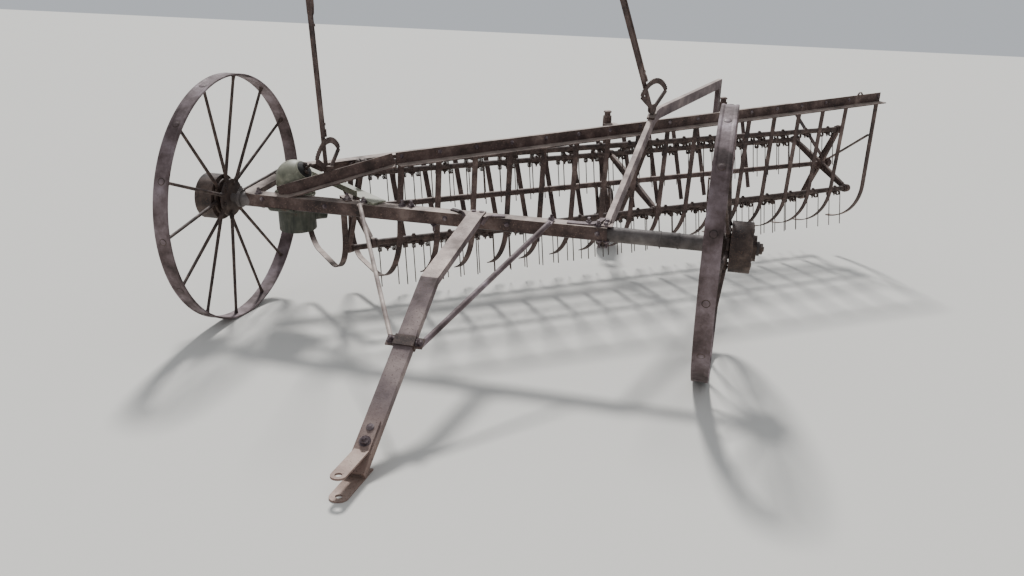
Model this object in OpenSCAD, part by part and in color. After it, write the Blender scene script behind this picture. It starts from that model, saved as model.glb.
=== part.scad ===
// Side-delivery hay rake: two steel front wheels, a diagonal reel of tooth bars and two rear castors.
// Millimetres. The origin is the middle of the hitch pin hole, +Y is towards the rear of the machine,
// +X is the machine's left side and +Z is up. The rake stands parked, with its drawbar on the ground.

/* [Wheels] */
// Diameter of a front wheel over its tread
wheel_d = 1270; // [1150:5:1300]
// Width of the tread
tread_w = 76; // [60:1:100]
// Thickness of the tread band at its middle
tread_t = 8; // [6:0.5:12]
// Height of the raised lips at the edges of the tread
tread_lip = 3; // [1:0.5:5]
// Distance between the middle planes of the two front wheels
track = 2465; // [2440:5:2700]
// Number of spokes in a front wheel
spoke_n = 14; // [10:1:16]
// Diameter of a spoke
spoke_d = 13; // [10:0.5:16]
// Turn of the first spoke from the horizontal
spoke_phase = 8.5; // [0:0.5:25]
// Diameter of the ratchet drum on the outer side of a hub
drum_d = 236; // [200:2:250]
// Width of the ratchet drum
drum_w = 92; // [80:1:100]
// Diameter of the hub barrel
hub_d = 118; // [100:1:130]

/* [Axle] */
// Outer diameter of the axle pipe
pipe_d = 73; // [60:0.5:80]
// Diameter of the axle stub that carries a wheel
stub_d = 44; // [38:0.5:52]

/* [Frame] */
// Leg of the frame's angle iron
leg = 63.5; // [55:0.5:70]
// Thickness of the angle iron
iron_t = 6.4; // [5:0.1:9]
// Nose-down lean of the frame when the drawbar is on the ground
frame_tip = 6.4; // [5.5:0.1:7]
// Angle between the reel and the axle, seen square to the frame
reel_azimuth = 43.5; // [42:0.5:45]
// Height of the top beam's lower edge above the axle, square to the frame
beam_lift = 200; // [190:5:230]
// Top of the arch above the axle, square to the frame
arch_lift = 335; // [325:5:380]
// Width of the arch channel
arch_w = 76; // [60:1:90]
// Depth of the arch channel's flanges
arch_flange = 38; // [30:1:45]

/* [Reel] */
// Radius of the circle that the tooth bars run on
reel_r = 296; // [280:1:300]
// Diameter of a tooth bar
bar_d = 34; // [28:1:36]
// Diameter of the reel's centre shaft
shaft_d = 35; // [30:1:45]
// Length of a tooth from the middle of its bar
tooth_len = 248; // [210:2:252]
// Diameter of the tooth wire
tooth_d = 6; // [5:0.5:8]
// Distance between two strippers along the reel
pitch = 213; // [205:1:214]
// Number of strippers along the reel
strip_n = 16; // [8:1:16]
// Width of a stripper
strip_w = 32; // [25:1:40]
// Thickness of a stripper
strip_t = 6; // [5:0.5:8]

/* [Drawbar] */
// Width of the drawbar channel
bar_w = 76; // [60:1:90]
// Depth of the drawbar channel's flanges
bar_flange = 35; // [28:1:40]
// Steel thickness of the drawbar
bar_t = 7; // [5:0.5:9]
// Diameter of the hitch pin hole
pin_hole_d = 27; // [20:0.5:32]

/* [Castors] */
// Diameter of a castor wheel
castor_d = 420; // [380:5:440]
// Width of a castor wheel's rim
castor_w = 64; // [50:1:76]
// Distance from a castor's swivel axis back to its axle
castor_trail = 190; // [170:5:210]
// Diameter of a castor's swivel post
post_d = 42; // [36:1:50]

/* [Hidden] */

$fn = 48;
rust = "#5a4742";
rim_steel = "#8b7f82";
pipe_grey = "#7d7d80";
old_green = "#8f9a80";
light_steel = "#b3aba6";

wheel_r = wheel_d / 2;
pipe_r = pipe_d / 2;
run_gap = 0.5;            // radial gap of a part that turns on a pin or stub
seat_gap = 0.3;           // gap between a piece and what it is bolted to
cut = 1;                  // how far a cutting shape runs past what it cuts
fuse = 2;                 // how far a shape runs into the one that it is welded to

// Hitch pin hole, from the ground point under the middle of the axle
hitch_x = 93;
hitch_y = -1600;
hitch_z = 45;

// Corners of the frame in its own plane: x, y from the axle, y to the rear
bar_right_x = -1176;          // outer face of the bent-back end of the front bar
bar_left_x = 735;             // where the front bar ends under the arch
corner_r = 80;                // radius of the bent-back end
apex_y = 520;                 // where the rear rail begins
rail_len = 3855;              // length of the rear rail
flange_z = pipe_r + iron_t;   // top of the front bar above the axle's centre
bar_front_y = -pipe_r - iron_t;

// Top beam: foot on the front bar, knee, then straight to the far end
beam_foot = [-900, bar_front_y + leg];
knee = [-393, 172];
beam_len = 3525;

// Reel axis, from the ground point under the middle of the axle
reel_rise = 1.4;              // rise of the reel towards its far end
reel_plan = atan2(sin(reel_azimuth) * cos(frame_tip), cos(reel_azimuth));
reel_behind = 370;            // from the beam's web back to the axis
reel_from_knee = 2146;        // from the knee to the reel's middle, along the reel
reel_mid_z = 614;
reel_near = -2240;            // the spiders, along the reel
reel_centre = -380;
reel_far = 1290;
bar_over = 20;                // overhang of a tooth bar past its end spider
reel_phase = -27;             // angle of the first tooth bar from the front, upwards positive
arm_w = 36;
arm_t = 10;
eye_len = 18;                 // the eyes round the tooth bars are thicker than the arms
spider_hub_d = shaft_d + 40;
spider_hub_len = 46;
tooth_lean = 8;               // forward lean of the teeth

strip_first = 31;             // place of the first stripper, along the beam from the knee
strip_top = 8;                // the strippers end this far under the beam's top edge
hook_clear = 85;              // the hooks' centres lie this far under the reel's axis
hook_r = 300;                 // radius of a stripper's hooked end
hook_turn = 84;
near_hook_turn = 66;

// Wheels: the hub stands outwards from the wheel's middle plane
hub_in = 14;
hub_len = 168;
hub_flange_d = 196;
hub_flange_t = 11;
outer_flange_at = 50;
drum_in = 66;

function rail_point(along, inwards) =
    [bar_right_x + along * cos(reel_azimuth) + inwards * sin(reel_azimuth),
     apex_y + along * sin(reel_azimuth) - inwards * cos(reel_azimuth)];
function from_frame(p) = [p[0], p[1] * cos(frame_tip) - p[2] * sin(frame_tip),
                          wheel_r + p[1] * sin(frame_tip) + p[2] * cos(frame_tip)];

knee_world = from_frame([knee[0], knee[1], beam_lift]);
reel_mid = [knee_world[0] + reel_from_knee * cos(reel_plan) - reel_behind * sin(reel_plan),
            knee_world[1] + reel_from_knee * sin(reel_plan) + reel_behind * cos(reel_plan),
            reel_mid_z];

// Everything is drawn from the ground point under the middle of the axle
module machine() { translate([-hitch_x, -hitch_y, -hitch_z]) children(); }

// The frame leans nose-down about the axle
module on_frame() { machine() translate([0, 0, wheel_r]) rotate([frame_tip, 0, 0]) children(); }

// Along the top beam from its knee: +X to the far end, -Y to the front, +Z square to the frame
module at_beam() {
    on_frame() translate([knee[0], knee[1], beam_lift]) rotate([0, 0, reel_azimuth]) children();
}

// The reel's own axes: +X along the reel to its far end, -Y to its front
module at_reel() { machine() translate(reel_mid) rotate([0, -reel_rise, reel_plan]) children(); }

// Draws its children along the line from p to q, +X on that line and +Z as near up as it can be
module span(p, q) {
    d = q - p;
    translate(p) rotate([0, -asin(d[2] / norm(d)), atan2(d[1], d[0])]) children();
}

module rod(p, q, d) { span(p, q) rotate([0, 90, 0]) cylinder(h = norm(q - p), d = d); }
module along_x(h, d) { rotate([0, 90, 0]) cylinder(h = h, d = d); }

// Angle iron along +X with its corner on the X axis: one leg down or up, one leg to +Y or -Y
module angle_iron(len, side = 1, drop = 1) {
    translate([0, side > 0 ? 0 : -iron_t, drop > 0 ? -leg : 0]) cube([len, iron_t, leg]);
    translate([0, side > 0 ? 0 : -leg, drop > 0 ? -iron_t : 0]) cube([len, leg, iron_t]);
}

// Channel along +X, its web on top and its flanges hanging down
module channel(len, w, flange, t) {
    translate([0, -w / 2, -t]) cube([len, w, t]);
    for (y = [-w / 2, w / 2 - t]) translate([0, y, -flange]) cube([len, t, flange]);
}

// Front bar: along the axle, then bent back inside the right wheel to the rear corner
module front_bar() {
    leg_len = apex_y - leg - bar_front_y - corner_r - 6;
    color(rust) on_frame() difference() {
        bent_bar(leg_len);
        // the bent-back end is notched over the axle pipe
        translate([bar_right_x - cut, 0, 0]) along_x(corner_r, pipe_d + 2 * seat_gap);
    }
}

module bent_bar(leg_len) {
    union() {
        translate([bar_right_x + corner_r, bar_front_y, flange_z])
            angle_iron(bar_left_x - bar_right_x - corner_r);
        translate([bar_right_x + corner_r, bar_front_y + corner_r, flange_z])
            rotate([0, 0, 180]) rotate_extrude(angle = 90)
                polygon([[corner_r, 0], [corner_r, -leg], [corner_r - iron_t, -leg],
                         [corner_r - iron_t, -iron_t], [corner_r - leg, -iron_t], [corner_r - leg, 0]]);
        translate([bar_right_x, bar_front_y + corner_r, flange_z])
            rotate([0, 0, 90]) angle_iron(leg_len, side = -1);
    }
}

// Rear rail behind the reel, with the gusset that ties it to the front bar
module rear_rail() {
    color(rust) on_frame() {
        translate([bar_right_x, apex_y, flange_z]) rotate([0, 0, reel_azimuth])
            angle_iron(rail_len, side = -1);
        translate([bar_right_x, apex_y - 3 * leg, flange_z]) linear_extrude(iron_t)
            polygon(leg * [[0, 0], [1, 0], [1, 2.3], [2.2, 3.7], [1.8, 4.6], [0, 3]]);
    }
}

// Wide flat bar from the rear corner to the front bar, with a stiffening lip and a packing piece
side_brace_w = 76;
brace_lip = 32;
brace_start = [bar_right_x + 100, apex_y - 68];
brace_end = [-415, bar_front_y + 0.5 * leg];

module side_brace() {
    d = brace_end - brace_start;
    color(old_green) on_frame() {
        translate([brace_start[0], brace_start[1], flange_z + iron_t])
            rotate([0, 0, atan2(d[1], d[0])]) translate([0, -side_brace_w / 2, 0]) {
                cube([norm(d), side_brace_w, iron_t]);
                translate([2.5 * leg, 0, 0]) cube([norm(d) - 5 * leg, iron_t, brace_lip]);
            }
        translate([brace_end[0] - 60, bar_front_y + 12, flange_z]) cube([50, leg - 20, iron_t]);
    }
}

// Axle pipe with its collars and the stubs that carry the wheels
pipe_end = track / 2 - 30;
collar_w = 18;

module axle() {
    color(pipe_grey) machine() translate([0, 0, wheel_r]) {
        translate([-pipe_end, 0, 0]) along_x(2 * pipe_end, pipe_d);
        for (s = [0, 1]) mirror([s, 0, 0]) {
            translate([pipe_end - collar_w, 0, 0]) along_x(collar_w, pipe_d + 18);
            translate([pipe_end - cut, 0, 0])
                along_x(track / 2 - pipe_end + hub_in + hub_len + cut + 14, stub_d);
            translate([track / 2 + hub_in + hub_len + 2, 0, 0]) along_x(12, stub_d + 22);
        }
    }
}

// Bevel gear case on the axle: a can with a lid seam and a domed top
case_x = -950;
case_y = 128;
case_d = 196;
case_low = -180;
case_seam = 10;
case_top = 190;
nose_len = 62;                // the nose carries the near end of the reel's shaft
nose_bore = 12;               // its bore goes on this far into the can
case_lid = 12;                // height of the lid's seam, and how far it stands out
case_wall = 4;                // the dome stands back this far inside the lid
clamp_over = 28;              // outer diameter of the case's clamp over the pipe's

module gear_case() {
    dome_h = case_top - case_seam;
    color(old_green) difference() {
        union() {
            on_frame() {
                translate([case_x, case_y, case_low]) cylinder(h = case_seam - case_low, d = case_d);
                translate([case_x, case_y, case_seam]) {
                    cylinder(h = case_lid, d = case_d + case_lid, center = true);
                    rotate_extrude() dome_half(case_d / 2 - case_wall, dome_h);
                }
                translate([case_x - 70, 0, 0]) along_x(140, pipe_d + clamp_over);
                translate([case_x - 50, 0, -pipe_r]) cube([100, case_y - 40, pipe_d]);
            }
            at_reel() translate([case_reel_x, 0, 0]) along_x(case_d / 2 + nose_len, shaft_d + 50);
        }
        on_frame() {
            translate([case_x - 90, 0, 0]) along_x(180, pipe_d + 2 * seat_gap);
            translate([case_x - 90, -1.5 * leg, flange_z - leg - seat_gap])
                cube([180, 1.5 * leg - pipe_r + seat_gap, 2 * leg]);
            translate([case_x - 90, -leg, flange_z - iron_t - seat_gap])
                cube([180, bar_front_y + 2 * leg + 10, iron_t + 2 * seat_gap + 12]);
        }
        at_reel() translate([case_reel_x + case_d / 2 - nose_bore, 0, 0])
            along_x(nose_len + nose_bore + cut, shaft_d + 2 * run_gap);
    }
}

// Half outline of a dome: a quarter circle on a short wall
module dome_half(r, h) {
    intersection() {
        translate([0, h - r]) circle(r = r);
        square([r, h]);
    }
    square([r, h - r]);
}

// Place of the gear case along the reel's axis
case_world = from_frame([case_x, case_y, 0]);
case_reel_x = (case_world[0] - reel_mid[0]) * cos(reel_plan)
              + (case_world[1] - reel_mid[1]) * sin(reel_plan);

// Bent beam over the front of the reel
module top_beam() {
    k = [knee[0], knee[1], beam_lift];
    f = [beam_foot[0], beam_foot[1], flange_z];
    color(rust) {
        at_beam() angle_iron(beam_len, side = -1, drop = -1);
        on_frame() difference() {
            span(f, k) translate([-foot_over, 0, 0])
                angle_iron(norm(k - f) + foot_over, side = -1, drop = -1);
            translate([f[0] - 200, f[1] - 200, flange_z - 100]) cube([400, 400, 100]);
        }
    }
}

// Arch: a sloped leg from the front bar, a level run over the reel and a drop to the rear rail
arch_knee = [786, 1262];
arch_end = rail_point(3090, 0.5 * leg);
arch_back = arch_lift - 50;
foot_pad = 12;                // thickness of the pad under the arch's foot
arch_a = [bar_left_x - 10, bar_front_y + leg - 20, flange_z + foot_pad];
arch_b = [arch_knee[0], arch_knee[1], arch_lift];
arch_c = [arch_end[0], arch_end[1], arch_back];
arch_post = 40;
foot_over = 70;               // a sloped leg is drawn this much longer and cut level on the front bar

module arch() {
    color(rust) on_frame() {
        difference() {
            span(arch_a, arch_b) translate([-foot_over, 0, 0])
                channel(norm(arch_b - arch_a) + foot_over, arch_w, arch_flange, iron_t);
            translate([bar_left_x - 2 * arch_w, -3 * leg, flange_z - 3 * leg])
                cube([4 * arch_w, 6 * leg, 3 * leg]);
        }
        span(arch_b, arch_c) channel(norm(arch_c - arch_b), arch_w, arch_flange, iron_t);
        translate([arch_a[0] - arch_w / 2, bar_front_y, flange_z]) cube([arch_w, leg, foot_pad]);
        // drop to the rear rail, and the post that stands on the beam
        translate([arch_end[0], arch_end[1], flange_z]) rotate([0, 0, reel_azimuth])
            translate([-arch_w / 2, -iron_t, 0]) cube([arch_w, iron_t, arch_back - flange_z - iron_t]);
        translate([knee[0], knee[1], beam_lift + leg]) rotate([0, 0, reel_azimuth])
            translate([(arch_knee[0] - knee[0]) / cos(reel_azimuth) - arch_post, -iron_t, 0])
                cube([arch_post, iron_t, arch_lift - beam_lift - leg - iron_t]);
    }
}

// The reel's axis in the beam's frame, x along the beam from the knee: distance behind the web and below it
lean = asin(sin(frame_tip) * cos(reel_azimuth));
beam_rise = asin(sin(frame_tip) * sin(reel_azimuth));
function beam_drop(x) = knee_world[2] + x * sin(beam_rise) - reel_mid_z
    - (x * cos(beam_rise) - reel_from_knee) * tan(reel_rise);
function axis_back(x) = reel_behind * cos(lean) - beam_drop(x) * sin(lean);
function axis_down(x) = reel_behind * sin(lean) + beam_drop(x) * cos(lean);

// The strippers are bolted behind the beam's web and hang square to the reel
strip_turn = beam_rise - reel_rise;
strip_high = leg - strip_top;

// Place along the reel of the stripper that is bolted at x along the beam
function strip_station(x) = x * cos(strip_turn) - strip_high * sin(strip_turn)
    - reel_from_knee * cos(reel_rise) + (knee_world[2] - reel_mid_z) * sin(reel_rise);

// Curved strippers: straight down in front of the bars, then hooked back under them by a turn
module strippers(from, to, turn) {
    color(rust) at_beam() for (i = [from:to]) {
        x = strip_first + i * pitch;
        down = strip_high + axis_down(x) + hook_clear;
        translate([x, seat_gap, strip_high]) rotate([0, strip_turn, 0]) translate([-strip_w / 2, 0, -down]) {
            cube([strip_w, strip_t, down]);
            translate([0, strip_t + hook_r, 0]) rotate([0, 90, 0]) rotate([0, 0, -90])
                rotate_extrude(angle = turn) translate([hook_r, 0]) square([strip_t, strip_w]);
        }
    }
}

// The two strippers at the near end are hoops, which go on under the reel and up to the rear rail.
// Columns: place along the beam, distance behind its web, top, outer radius of the front bend, bottom, lean.
// The first is bolted to the beam, the second hangs from a tab on the front bar's flange.
hoops = [[strip_first, seat_gap, strip_high, 365, -725, strip_turn],
         [-262, 88, flange_z - beam_lift + strip_t + seat_gap, 250, -620, 0]];
hoop_rear_r = 194;            // outer radius of a hoop's rear bend
hoop_tab = 93;                // the tab reaches this far to the front of its hoop
hoop_slack = 4;               // a hoop ends this far under the rail's flange
rail_behind = (knee[0] - bar_right_x) * sin(reel_azimuth) - (knee[1] - apex_y) * cos(reel_azimuth);

module near_hoops() {
    color(rust) at_beam() {
        for (h = hoops) translate([h[0], 0, h[2]]) rotate([0, h[5], 0]) translate([-strip_w / 2, 0, -h[2]])
            hoop(h[1], h[2], h[3], h[4]);
        // the second hoop's tab, let into its top
        translate([hoops[1][0] - strip_w / 2, hoops[1][1] - hoop_tab, hoops[1][2] - strip_t])
            cube([strip_w, hoop_tab + strip_t + cut, strip_t]);
    }
}

module hoop(back, top, bend, low) {
    face = rail_behind - iron_t - 2 * seat_gap;
    rail_end = flange_z - beam_lift - iron_t - hoop_slack;
    translate([0, back, low + bend]) cube([strip_w, strip_t, top - cut - low - bend]);
    translate([0, back + bend, low + bend]) hoop_bend(bend, -90);
    translate([0, back + bend, low]) cube([strip_w, face - hoop_rear_r - back - bend, strip_t]);
    translate([0, face - hoop_rear_r, low + hoop_rear_r]) hoop_bend(hoop_rear_r, 0);
    translate([0, face - strip_t, low + hoop_rear_r])
        cube([strip_w, strip_t, rail_end - low - hoop_rear_r]);
}

module hoop_bend(r, from) {
    rotate([0, 90, 0]) rotate([0, 0, from]) rotate_extrude(angle = 90)
        translate([r - strip_t, 0]) square([strip_t, strip_w]);
}

// Straight straps that hang from the rear rail behind the bars
rear_strip_first = 591;
rear_strip_n = 14;
rear_strip_lean = 23;             // lean of the first strap; each next one leans less, as the reel drops away
rear_lean_step = 0.5;
rear_strip_len = 540;

module rear_strippers() {
    bend = -leg / 2;
    color(rust) on_frame() translate([bar_right_x, apex_y, flange_z]) rotate([0, 0, reel_azimuth])
        for (i = [0:rear_strip_n - 1]) {
            a = rear_strip_lean - i * rear_lean_step;
            end = [-rear_strip_len * sin(a), bend - rear_strip_len * cos(a)];
            translate([rear_strip_first + i * pitch - strip_w / 2, -iron_t - seat_gap, -iron_t - seat_gap])
                rotate([90, 0, 90]) linear_extrude(strip_w)
                    polygon([[0, 0], [0, bend], end, end + strip_t * [-cos(a), sin(a)],
                             [-strip_t, bend + strip_t * tan(a / 2)], [-strip_t, 0]]);
        }
}

// Bearing of the reel's far end: a strap down from the beam's end, an arm back to the bearing
// and a second arm up to the rear rail
hanger_w = 34;
hanger_t = 8;
hanger_gap = 28;
arm_inset = 3;                // the arms are this much narrower than the strap, on each side
far_hanger_x = reel_far + bar_over + hanger_gap;
hanger_mid = (far_hanger_x + hanger_w / 2 + reel_from_knee) / cos(beam_rise);
hanger_low = axis_down(hanger_mid) + hook_clear;   // length of the strap under the beam, down to its hook
strap_rise = 250;                              // the first arm leaves the strap this far above the axis
rail_back = 0.5 * leg;
rail_slack = 2;               // the second arm is level and the rail's flange is not, so it lies lower

module far_hanger() {
    // the strap leans with the frame, so its foot lies further forward than at the axis
    strap_foot = [far_hanger_x, -axis_back(hanger_mid) - strap_rise * sin(lean) + hanger_t / 2, strap_rise];
    plate_front = [far_hanger_x, -12, 25];
    plate_back = [far_hanger_x, 20, 20];
    color(rust) {
        at_reel() difference() {
            union() {
                translate([far_hanger_x, 0, 0]) along_x(hanger_w, shaft_d + 40);
                hanger_arm(strap_foot, plate_front);
                hanger_arm(rail_foot, plate_back);
            }
            translate([far_hanger_x - cut, 0, 0]) along_x(hanger_w + 2 * cut, shaft_d + 2 * run_gap);
        }
        // the strap goes on as the last stripper
        at_beam() translate([hanger_mid - hanger_w / 2, seat_gap, -hanger_low]) {
            cube([hanger_w, hanger_t, hanger_low + leg - strip_top]);
            translate([0, hanger_t + hook_r, 0]) rotate([0, 90, 0]) rotate([0, 0, -90])
                rotate_extrude(angle = hook_turn) translate([hook_r, 0]) square([hanger_t, hanger_w]);
        }
    }
}

// Flat arm across the reel's end, from p to q in the reel's axes
module hanger_arm(p, q) {
    a = atan2(q[2] - p[2], q[1] - p[1]);
    len = norm([q[1] - p[1], q[2] - p[2]]);
    translate(p) rotate([a, 0, 0]) translate([arm_inset, 0, -hanger_t / 2])
        cube([hanger_w - 2 * arm_inset, len, hanger_t]);
}

// Where the second arm reaches the rear rail, in the reel's axes
knee_along = (knee[0] - bar_right_x) * cos(reel_azimuth) + (knee[1] - apex_y) * sin(reel_azimuth);
rail_seat = from_frame(concat(rail_point(knee_along + hanger_mid, rail_back), [flange_z - iron_t]));
rail_foot = [far_hanger_x,
             -(rail_seat[0] - reel_mid[0]) * sin(reel_plan) + (rail_seat[1] - reel_mid[1]) * cos(reel_plan),
             rail_seat[2] - reel_mid[2] - far_hanger_x * tan(reel_rise) - hanger_t / 2 - rail_slack];

// Castors: sleeves behind the rear rail, forks that swivel in them and steel wheels
castor_along = [2223, 3251];  // places of the castors along the rear rail
castor_behind = 80;           // from the rail's back face to a castor's swivel axis
sleeve_len = 120;
sleeve_d = post_d + 18;
bracket_w = 90;
castor_at = [for (s = castor_along) from_frame(concat(rail_point(s, -castor_behind), [flange_z - leg / 2]))];

module castor_sleeves() {
    color(rust) for (k = [0, 1]) difference() {
        union() {
            machine() translate(castor_at[k]) cylinder(h = sleeve_len, d = sleeve_d, center = true);
            on_frame() translate([bar_right_x, apex_y, flange_z]) rotate([0, 0, reel_azimuth])
                translate([castor_along[k] - bracket_w / 2, seat_gap, -leg])
                    cube([bracket_w, castor_behind - post_d / 2 - 4, leg]);
        }
        machine() translate(castor_at[k])
            cylinder(h = 2 * sleeve_len, d = post_d + 2 * run_gap, center = true);
    }
}

fork_t = 10;                  // thickness of a fork leg
fork_gap = 10;                // from the rim to a fork leg
crown_t = 14;
crown_len = post_d + 30;
collar_t = 16;
castor_pin_d = 24;
castor_hub_d = 62;
castor_hub_over = 6;          // the hub stands this far out of the rim
castor_web = 14;
castor_rim_t = 9;

module castor_fork(k) {
    p = castor_at[k];
    low = p[2] - sleeve_len / 2;
    crown = castor_d + 40;
    leg_out = castor_w / 2 + fork_gap;
    color(rust) machine() translate([p[0], p[1], 0]) {
        translate([0, 0, crown]) cylinder(h = low + sleeve_len + 40 - crown, d = post_d);
        for (z = [low - collar_t - fuse, low + sleeve_len + fuse])
            translate([0, 0, z]) cylinder(h = collar_t, d = post_d + 16);
        translate([-leg_out - fork_t, -post_d / 2, crown])
            cube([2 * (leg_out + fork_t), crown_len, crown_t]);
        for (x = [-leg_out - fork_t, leg_out]) translate([x, 0, 0]) hull() {
            translate([0, -post_d / 2, crown]) cube([fork_t, crown_len, crown_t]);
            translate([0, castor_trail, castor_d / 2]) along_x(fork_t, 2 * castor_pin_d, $fn = 32);
        }
        translate([-leg_out - 2 * fork_t, castor_trail, castor_d / 2])
            along_x(2 * (leg_out + 2 * fork_t), castor_pin_d);
    }
}

module castor_wheel(k) {
    p = castor_at[k];
    color(rim_steel) machine() translate([p[0], p[1] + castor_trail, castor_d / 2])
        rotate([0, 90, 0]) difference() {
            union() {
                cylinder(h = castor_w, d = castor_d, center = true);
                cylinder(h = castor_w + 2 * castor_hub_over, d = castor_hub_d, center = true);
            }
            for (s = [0, 1]) mirror([0, 0, s]) translate([0, 0, castor_web / 2]) difference() {
                cylinder(h = castor_w, d = castor_d - 2 * castor_rim_t);
                cylinder(h = 3 * castor_w, d = castor_hub_d, center = true);
            }
            cylinder(h = 2 * castor_w, d = castor_pin_d + 2 * run_gap, center = true);
        }
}

// Drawbar: a channel that leaves the front bar nearly level, bends and slopes to the ground
seat_len = leg - 2;
bar_bend = [-700, 546];
bar_foot = [-1452, 50];
bar_run_on = 30;              // the channel runs on down to the lower plate, where it is welded
lower_plate_w = bar_w - 6;

// Side view of the drawbar's top: its seat on the front bar, its bend and its foot, as y, z points
seat_rear = from_frame([0, bar_front_y + seat_len, flange_z + bar_t + seat_gap]);
seat_front = from_frame([0, bar_front_y - 12, flange_z + bar_t + seat_gap]);
foot_step = (bar_foot - bar_bend) / norm(bar_foot - bar_bend);
bar_line = [[seat_rear[1], seat_rear[2]], [seat_front[1], seat_front[2]], bar_bend,
            bar_foot + bar_run_on * foot_step];

// Unit vector square to the line from p to q, on its lower side when it runs to the front
function under(p, q) = let (d = (q - p) / norm(q - p)) [-d[1], d[0]];

// Point i of the drawbar's line, moved down square to the line by t
function below(i, t) = let (
    n = i == 0 ? under(bar_line[0], bar_line[1]) : under(bar_line[i - 1], bar_line[i]),
    m = i == 3 ? n : under(bar_line[i], bar_line[i + 1])
) bar_line[i] + t * (n + m) / (1 + n * m);

// The drawbar's side view between two depths under its top, run on at its ends, w wide
module bent_web(top, deep, w, run_on) {
    ends = [run_on * (bar_line[0] - bar_line[1]) / norm(bar_line[0] - bar_line[1]), run_on * foot_step];
    translate([hitch_x - w / 2, 0, 0]) rotate([90, 0, 90]) linear_extrude(w)
        polygon([below(0, top) + ends[0], below(1, top), below(2, top), below(3, top) + ends[1],
                 below(3, deep) + ends[1], below(2, deep), below(1, deep), below(0, deep) + ends[0]]);
}

module drawbar() {
    color(light_steel) {
        difference() {
            machine() bent_web(0, bar_flange, bar_w, 0);
            machine() bent_web(bar_t, bar_flange + 10, bar_w - 2 * bar_t, 10);
            // the flanges end in front of the front bar
            on_frame() translate([hitch_x - bar_w, bar_front_y - 10, flange_z - 2 * leg + seat_gap])
                cube([2 * bar_w, 3 * leg, 2 * leg]);
        }
        // lower plate of the hitch, level on the ground
        machine() translate([hitch_x, hitch_y, 0]) linear_extrude(bar_t) difference() {
            union() {
                translate([-lower_plate_w / 2, 0])
                    square([lower_plate_w, bar_foot[0] - hitch_y + foot_over]);
                circle(d = lower_plate_w);
            }
            circle(d = pin_hole_d);
        }
    }
}

// Upper plate of the hitch, bolted along the drawbar and level over the pin hole
plate_w = 58;
plate_t = 8;
plate_top = 2 * hitch_z;
plate_reach = 130;

module hitch_plate() {
    join = bar_foot[0] + (plate_top - plate_t - bar_foot[1]) / tan(bar_slope);
    color(rust) machine() difference() {
        union() {
            translate([hitch_x, hitch_y, plate_top - plate_t]) cylinder(h = plate_t, d = plate_w);
            translate([hitch_x - plate_w / 2, hitch_y, plate_top - plate_t])
                cube([plate_w, join - hitch_y, plate_t]);
            translate([hitch_x - plate_w / 2, join, plate_top - plate_t + seat_gap]) rotate([bar_slope, 0, 0])
                cube([plate_w, plate_reach, plate_t]);
        }
        translate([hitch_x, hitch_y, plate_top - plate_t - cut])
            cylinder(h = plate_t + 2 * cut, d = pin_hole_d);
    }
}

// Strap clamp round the drawbar, with an ear on each side for a brace rod
clamp_along = 336;            // from the drawbar's bend down to the clamp
clamp_w = 50;
clamp_t = 6;
ear_len = 40;
ear_drop = 12;               // the rods end this far under the drawbar's web
bar_slope = atan2(bar_bend[1] - bar_foot[1], bar_bend[0] - bar_foot[0]);
clamp_at = [hitch_x, bar_bend[0] - clamp_along * cos(bar_slope), bar_bend[1] - clamp_along * sin(bar_slope)];

module at_clamp() { machine() translate(clamp_at) rotate([bar_slope, 0, 0]) children(); }

module brace_clamp() {
    half = bar_w / 2 + seat_gap;
    color(rust) at_clamp() translate([0, -clamp_w / 2, 0]) {
        translate([-half - clamp_t, 0, seat_gap]) cube([2 * (half + clamp_t), clamp_w, clamp_t]);
        for (x = [-half - clamp_t, half]) translate([x, 0, -bar_flange])
            cube([clamp_t, clamp_w, bar_flange + clamp_t]);
        for (x = [-half - ear_len, half]) translate([x, 0, -ear_drop]) cube([ear_len, clamp_w, clamp_t]);
    }
}

// Round brace rods from the front bar's flange down to the clamp's ears, flattened at the top
left_rod_d = 20;
right_rod_d = 26;
left_rod_x = -500;
right_rod_x = 462;
rod_tab = 40;                 // length of the flattened end on the flange
tab_t = 8;
rod_out = 16;                 // the rods leave the tabs this far in front of the bar

module brace_rod(x, side, d) {
    top = from_frame([0, bar_front_y - rod_out, flange_z + tab_t / 2]);
    ear = clamp_at + [side * (bar_w / 2 + seat_gap + ear_len / 2 + 1), 0, 0]
          - (ear_drop + d / 2 + 2 * seat_gap) * [0, -sin(bar_slope), cos(bar_slope)];
    machine() rod([x, top[1], top[2]], ear, d);
    on_frame() translate([x - d / 2 - 2, bar_front_y - rod_out - d / 2, flange_z])
        cube([d + 4, rod_tab + rod_out, tab_t]);
}

module left_brace_rod() { color(light_steel) brace_rod(left_rod_x, -1, left_rod_d); }
module right_brace_rod() { color(rim_steel) brace_rod(right_rod_x, 1, right_rod_d); }

// Notched sectors of the two lift levers, each beside its lever and in the same upright plane
sector_r = 170;
sector_w = 26;
sector_t = 8;
sector_ends = [35, 145];
lever_pin_d = 20;
lever_w = 28;
lever_t = 10;
lever_gap = 6;                // from the sector to the lever
pin_out = lever_gap + lever_t + 6;
rear_along = 100;             // from the arch's knee back down its sloped leg
rear_turn = -25;              // the rear lever swings in a plane that is turned towards the beam
pivot_rise = 41.5;              // the rear pivot stands this far above the arch
front_pivot = [-742, 112, 152];
arch_step = (arch_b - arch_a) / norm(arch_b - arch_a);
rear_pivot = arch_b - rear_along * arch_step + [0, 0, pivot_rise];
// from the top beam's foot to its knee, and to the front lever
knee_step = [knee[0] - beam_foot[0], knee[1] - beam_foot[1], beam_lift - flange_z];
foot_share = (front_pivot[0] - beam_foot[0]) / knee_step[0];

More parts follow.
